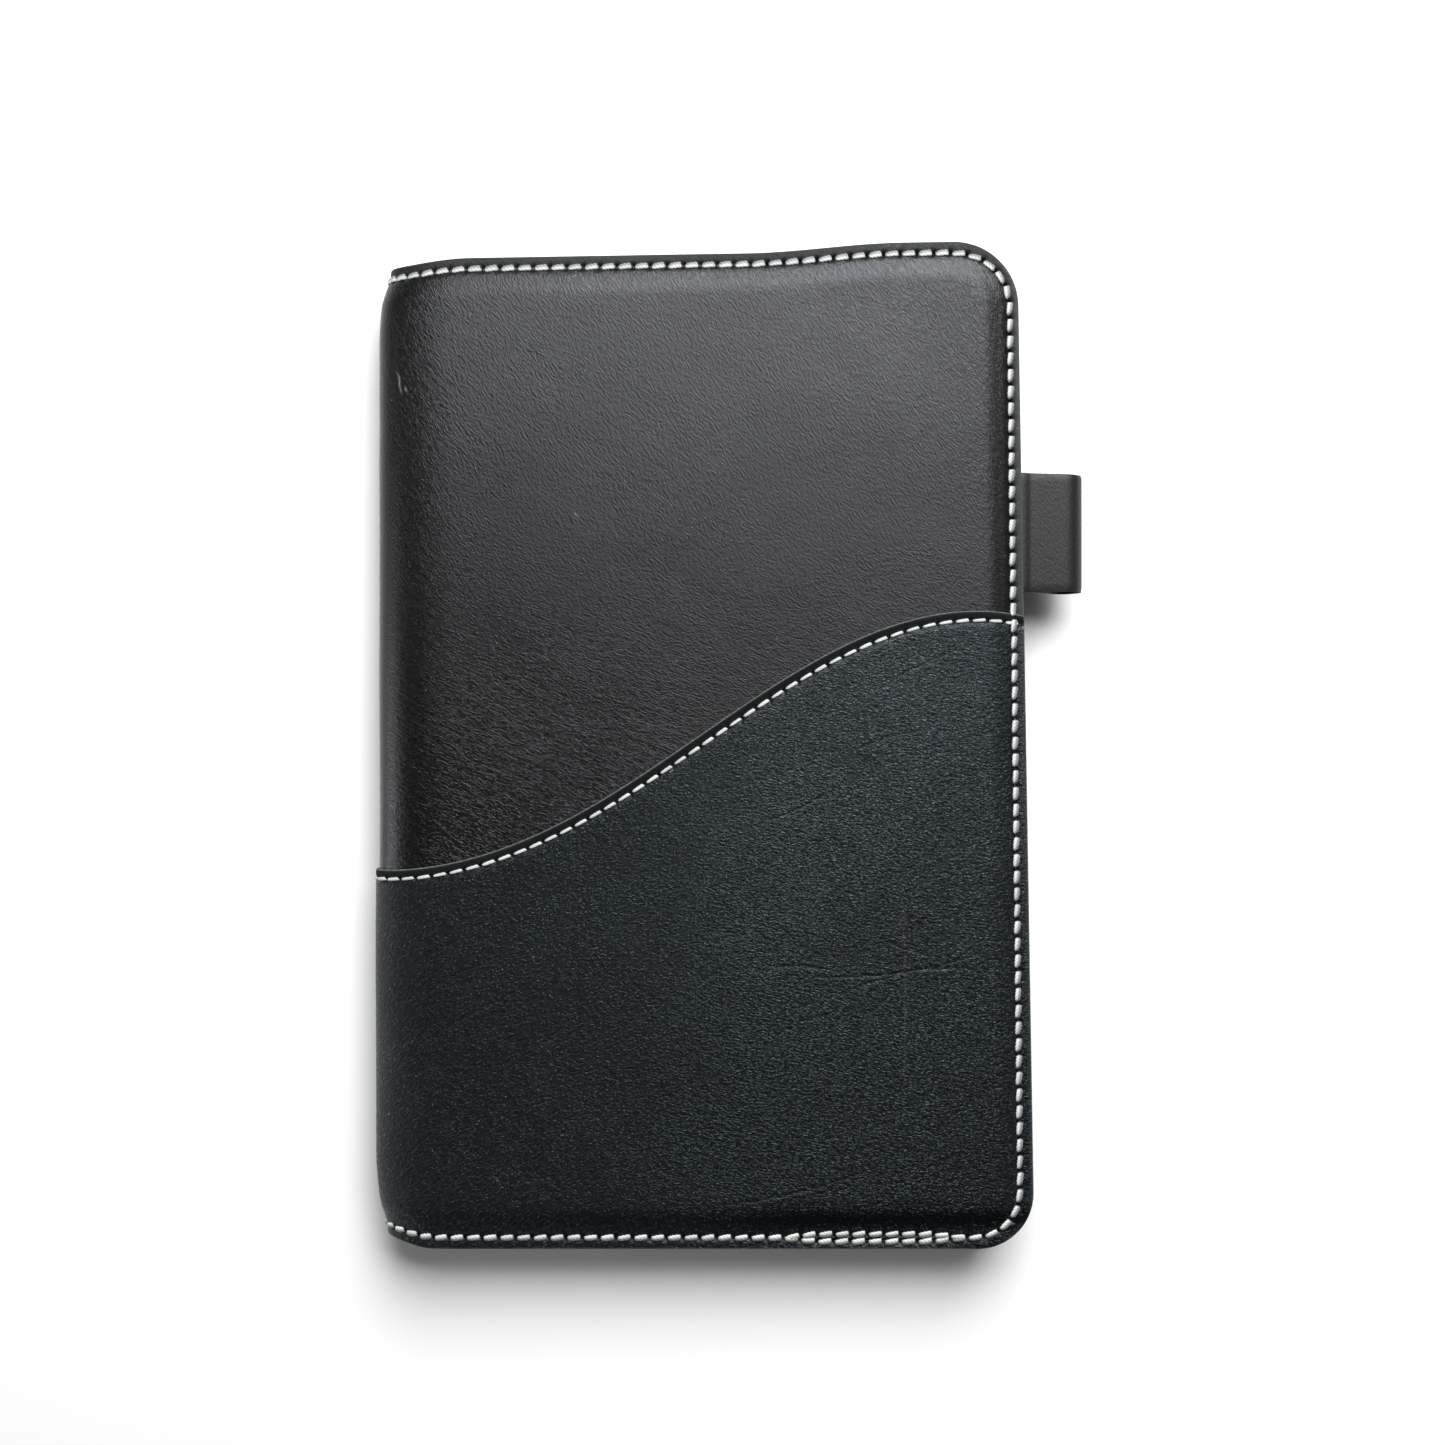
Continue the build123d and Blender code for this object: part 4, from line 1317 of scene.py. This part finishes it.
def loop_centre():
    """The strap's middle line from one tail, out round the nose and back to the other."""
    nose_r = (loop_high[2] - loop_low[2] - LOOP_THICK) / 2
    nose_x = loop_high[0] + LOOP_BULGE - nose_r - LOOP_THICK / 2
    nose_z = (loop_high[2] + loop_low[2]) / 2
    tail_x, meet_x = loop_low[0], loop_low[0] + 8.5
    upper = loop_high[2] - LOOP_THICK / 2
    lower = upper - LOOP_THICK
    x = np.linspace(tail_x, nose_x, 34)
    dip = LOOP_DIP * smooth(x, edge_x - 0.5, edge_x + 1.3) * (1 - smooth(x, edge_x + 1.5, nose_x))
    out = list(zip(x, upper - dip))
    round_nose = [(nose_x + nose_r * math.sin(a), nose_z + nose_r * math.cos(a))
                  for a in np.linspace(0, math.pi, 24)[1:]]
    back = []
    for t in np.linspace(0, 1, 22)[1:]:
        ease = t * t * (3 - 2 * t)
        x = nose_x + (meet_x - 1.5 - nose_x) * t
        back.append((x, nose_z - nose_r + (lower - nose_z + nose_r) * ease))
    tail = [(x, lower) for x in np.linspace(meet_x - 1.5, tail_x, 8)[1:]]
    return np.array(out + round_nose + back + tail)


def strap_leather():
    """The smooth leather in a matt finish, nearly black."""
    material, tree, shader = new_material("strap_leather")
    place = node(tree, "ShaderNodeTexCoord").outputs["Object"]
    scaled = node(tree, "ShaderNodeMapping", {"Vector": place, "Scale": (1000.0, 1000.0, 1000.0)}).outputs[0]
    grain = node(tree, "ShaderNodeGroup", node_tree=hide_grain)
    tree.links.new(scaled, grain.inputs["Place"])
    for label, value in (("Pebble", 0.4), ("Stretch", 0.4), ("Turn", 1.2)):
        grain.inputs[label].default_value = value
    tone = ramp(tree, grain.outputs["Cloud"], 0.3, 0.7)
    dyed = mixed(tree, tone, (0.0048, 0.0046, 0.0046, 1), (0.0065, 0.0065, 0.0066, 1))
    tree.links.new(dyed, shader.inputs["Base Color"])
    tree.links.new(ramp(tree, grain.outputs["Pores"], 0.3, 0.7, 0.43, 0.52), shader.inputs["Roughness"])
    fine = bumped(tree, grain.outputs["Pores"], 0.000006)
    tree.links.new(bumped(tree, grain.outputs["Crinkle"], 0.000025, fine), shader.inputs["Normal"])
    shader.inputs["Specular IOR Level"].default_value = 0.38
    return material


def pen_loop():
    """The folded strap: a rounded strip section carried along the middle line."""
    line = loop_centre()
    step = np.gradient(line, axis=0)
    step /= np.linalg.norm(step, axis=1)[:, None]
    normal = np.column_stack([-step[:, 1], step[:, 0]])
    wide = np.linspace(loop_low[1], loop_high[1], 26)
    half = LOOP_THICK / 2
    section = [(y, half - 0.16 * max(0.0, 1 - min(y - wide[0], wide[-1] - y) / 0.35) ** 2) for y in wide]
    under = [(y, -h) for y, h in reversed(section)]
    profile = section + [(wide[-1] + 0.02, 0.0)] + under + [(wide[0] - 0.02, 0.0)]
    verts, faces, choice = [], [], []
    count = len(profile)
    for (x, z), (nx, nz) in zip(line, normal):
        lower = float(rim_sink(edge_x - x))
        for y, h in profile:
            slant = LOOP_SLANT * (x - edge_x) / LOOP_REACH if y > loop_high[1] - 0.5 and x > edge_x else 0.0
            verts.append((x + nx * h, y - slant, z + nz * h - lower))
    for k in range(len(line) - 1):
        for a in range(count):
            b = (a + 1) % count
            faces.append([k * count + a, (k + 1) * count + a, (k + 1) * count + b, k * count + b])
            at_cut = a >= len(section) - 1 and a <= len(section) or a >= count - 2
            choice.append(1 if at_cut else 0)
    faces.append(list(range(count)))
    faces.append([(len(line) - 1) * count + a for a in reversed(range(count))])
    choice += [1, 1]
    return finished("pen_loop_strap", verts, faces, ([strap, dyed_edge], choice))


LOOP_REACH = loop_high[0] + LOOP_BULGE - edge_x
strap = strap_leather()
loop_strap = pen_loop()
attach(loop_strap, "front_cover")
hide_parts("pen_loop")

# ---- The studio: a white table top, one large soft light beyond the head of the cover, two weak ones at
# the sides, and a camera straight above.
scene = bpy.context.scene
scene.view_settings.view_transform = "Standard"
floor_mesh = bpy.data.meshes.new("table_top")
reach = 3.0
rest_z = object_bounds()[0][2]   # the stitches of the back cover stand on the table
corners = [(-reach, -reach, rest_z), (reach, -reach, rest_z), (reach, reach, rest_z), (-reach, reach, rest_z)]
floor_mesh.from_pydata(corners, [], [[0, 1, 2, 3]])
table_top = bpy.data.objects.new("table_top", floor_mesh)
scene.collection.objects.link(table_top)
white, tree, shader = new_material("white_table")
shader.inputs["Base Color"].default_value = (0.93, 0.93, 0.93, 1)
shader.inputs["Roughness"].default_value = 0.9
floor_mesh.materials.append(white)

world = bpy.data.worlds.new("studio")
scene.world = world
world.use_nodes = True
world.node_tree.nodes["Background"].inputs["Color"].default_value = (1, 1, 1, 1)
world.node_tree.nodes["Background"].inputs["Strength"].default_value = 0.04


def softbox(name, place, size, power):
    """A square soft light turned to the cover."""
    light = bpy.data.lights.new(name, "AREA")
    light.shape, light.size, light.energy = "SQUARE", size, power
    lamp = bpy.data.objects.new(name, light)
    scene.collection.objects.link(lamp)
    lamp.location = place
    lamp.rotation_euler = (Vector((0, 0, 0.01)) - Vector(place)).to_track_quat("-Z", "Y").to_euler()


softbox("key", (0.15, 0.50, 0.62), 0.6, 13.5)
softbox("left_fill", (-1.0, -0.2, 0.28), 0.5, 3.5)
softbox("right_fill", (0.9, -0.5, 0.28), 0.5, 1.0)

CAMERA_HEIGHT = 400.0
camera = bpy.data.objects.new("camera", bpy.data.cameras.new("camera"))
scene.collection.objects.link(camera)
camera.location = Vector((-1.8, 5.3, top_z + CAMERA_HEIGHT)) * MM
camera.data.sensor_width = 36
camera.data.lens = 44.9
camera.data.clip_start = 0.01
scene.camera = camera
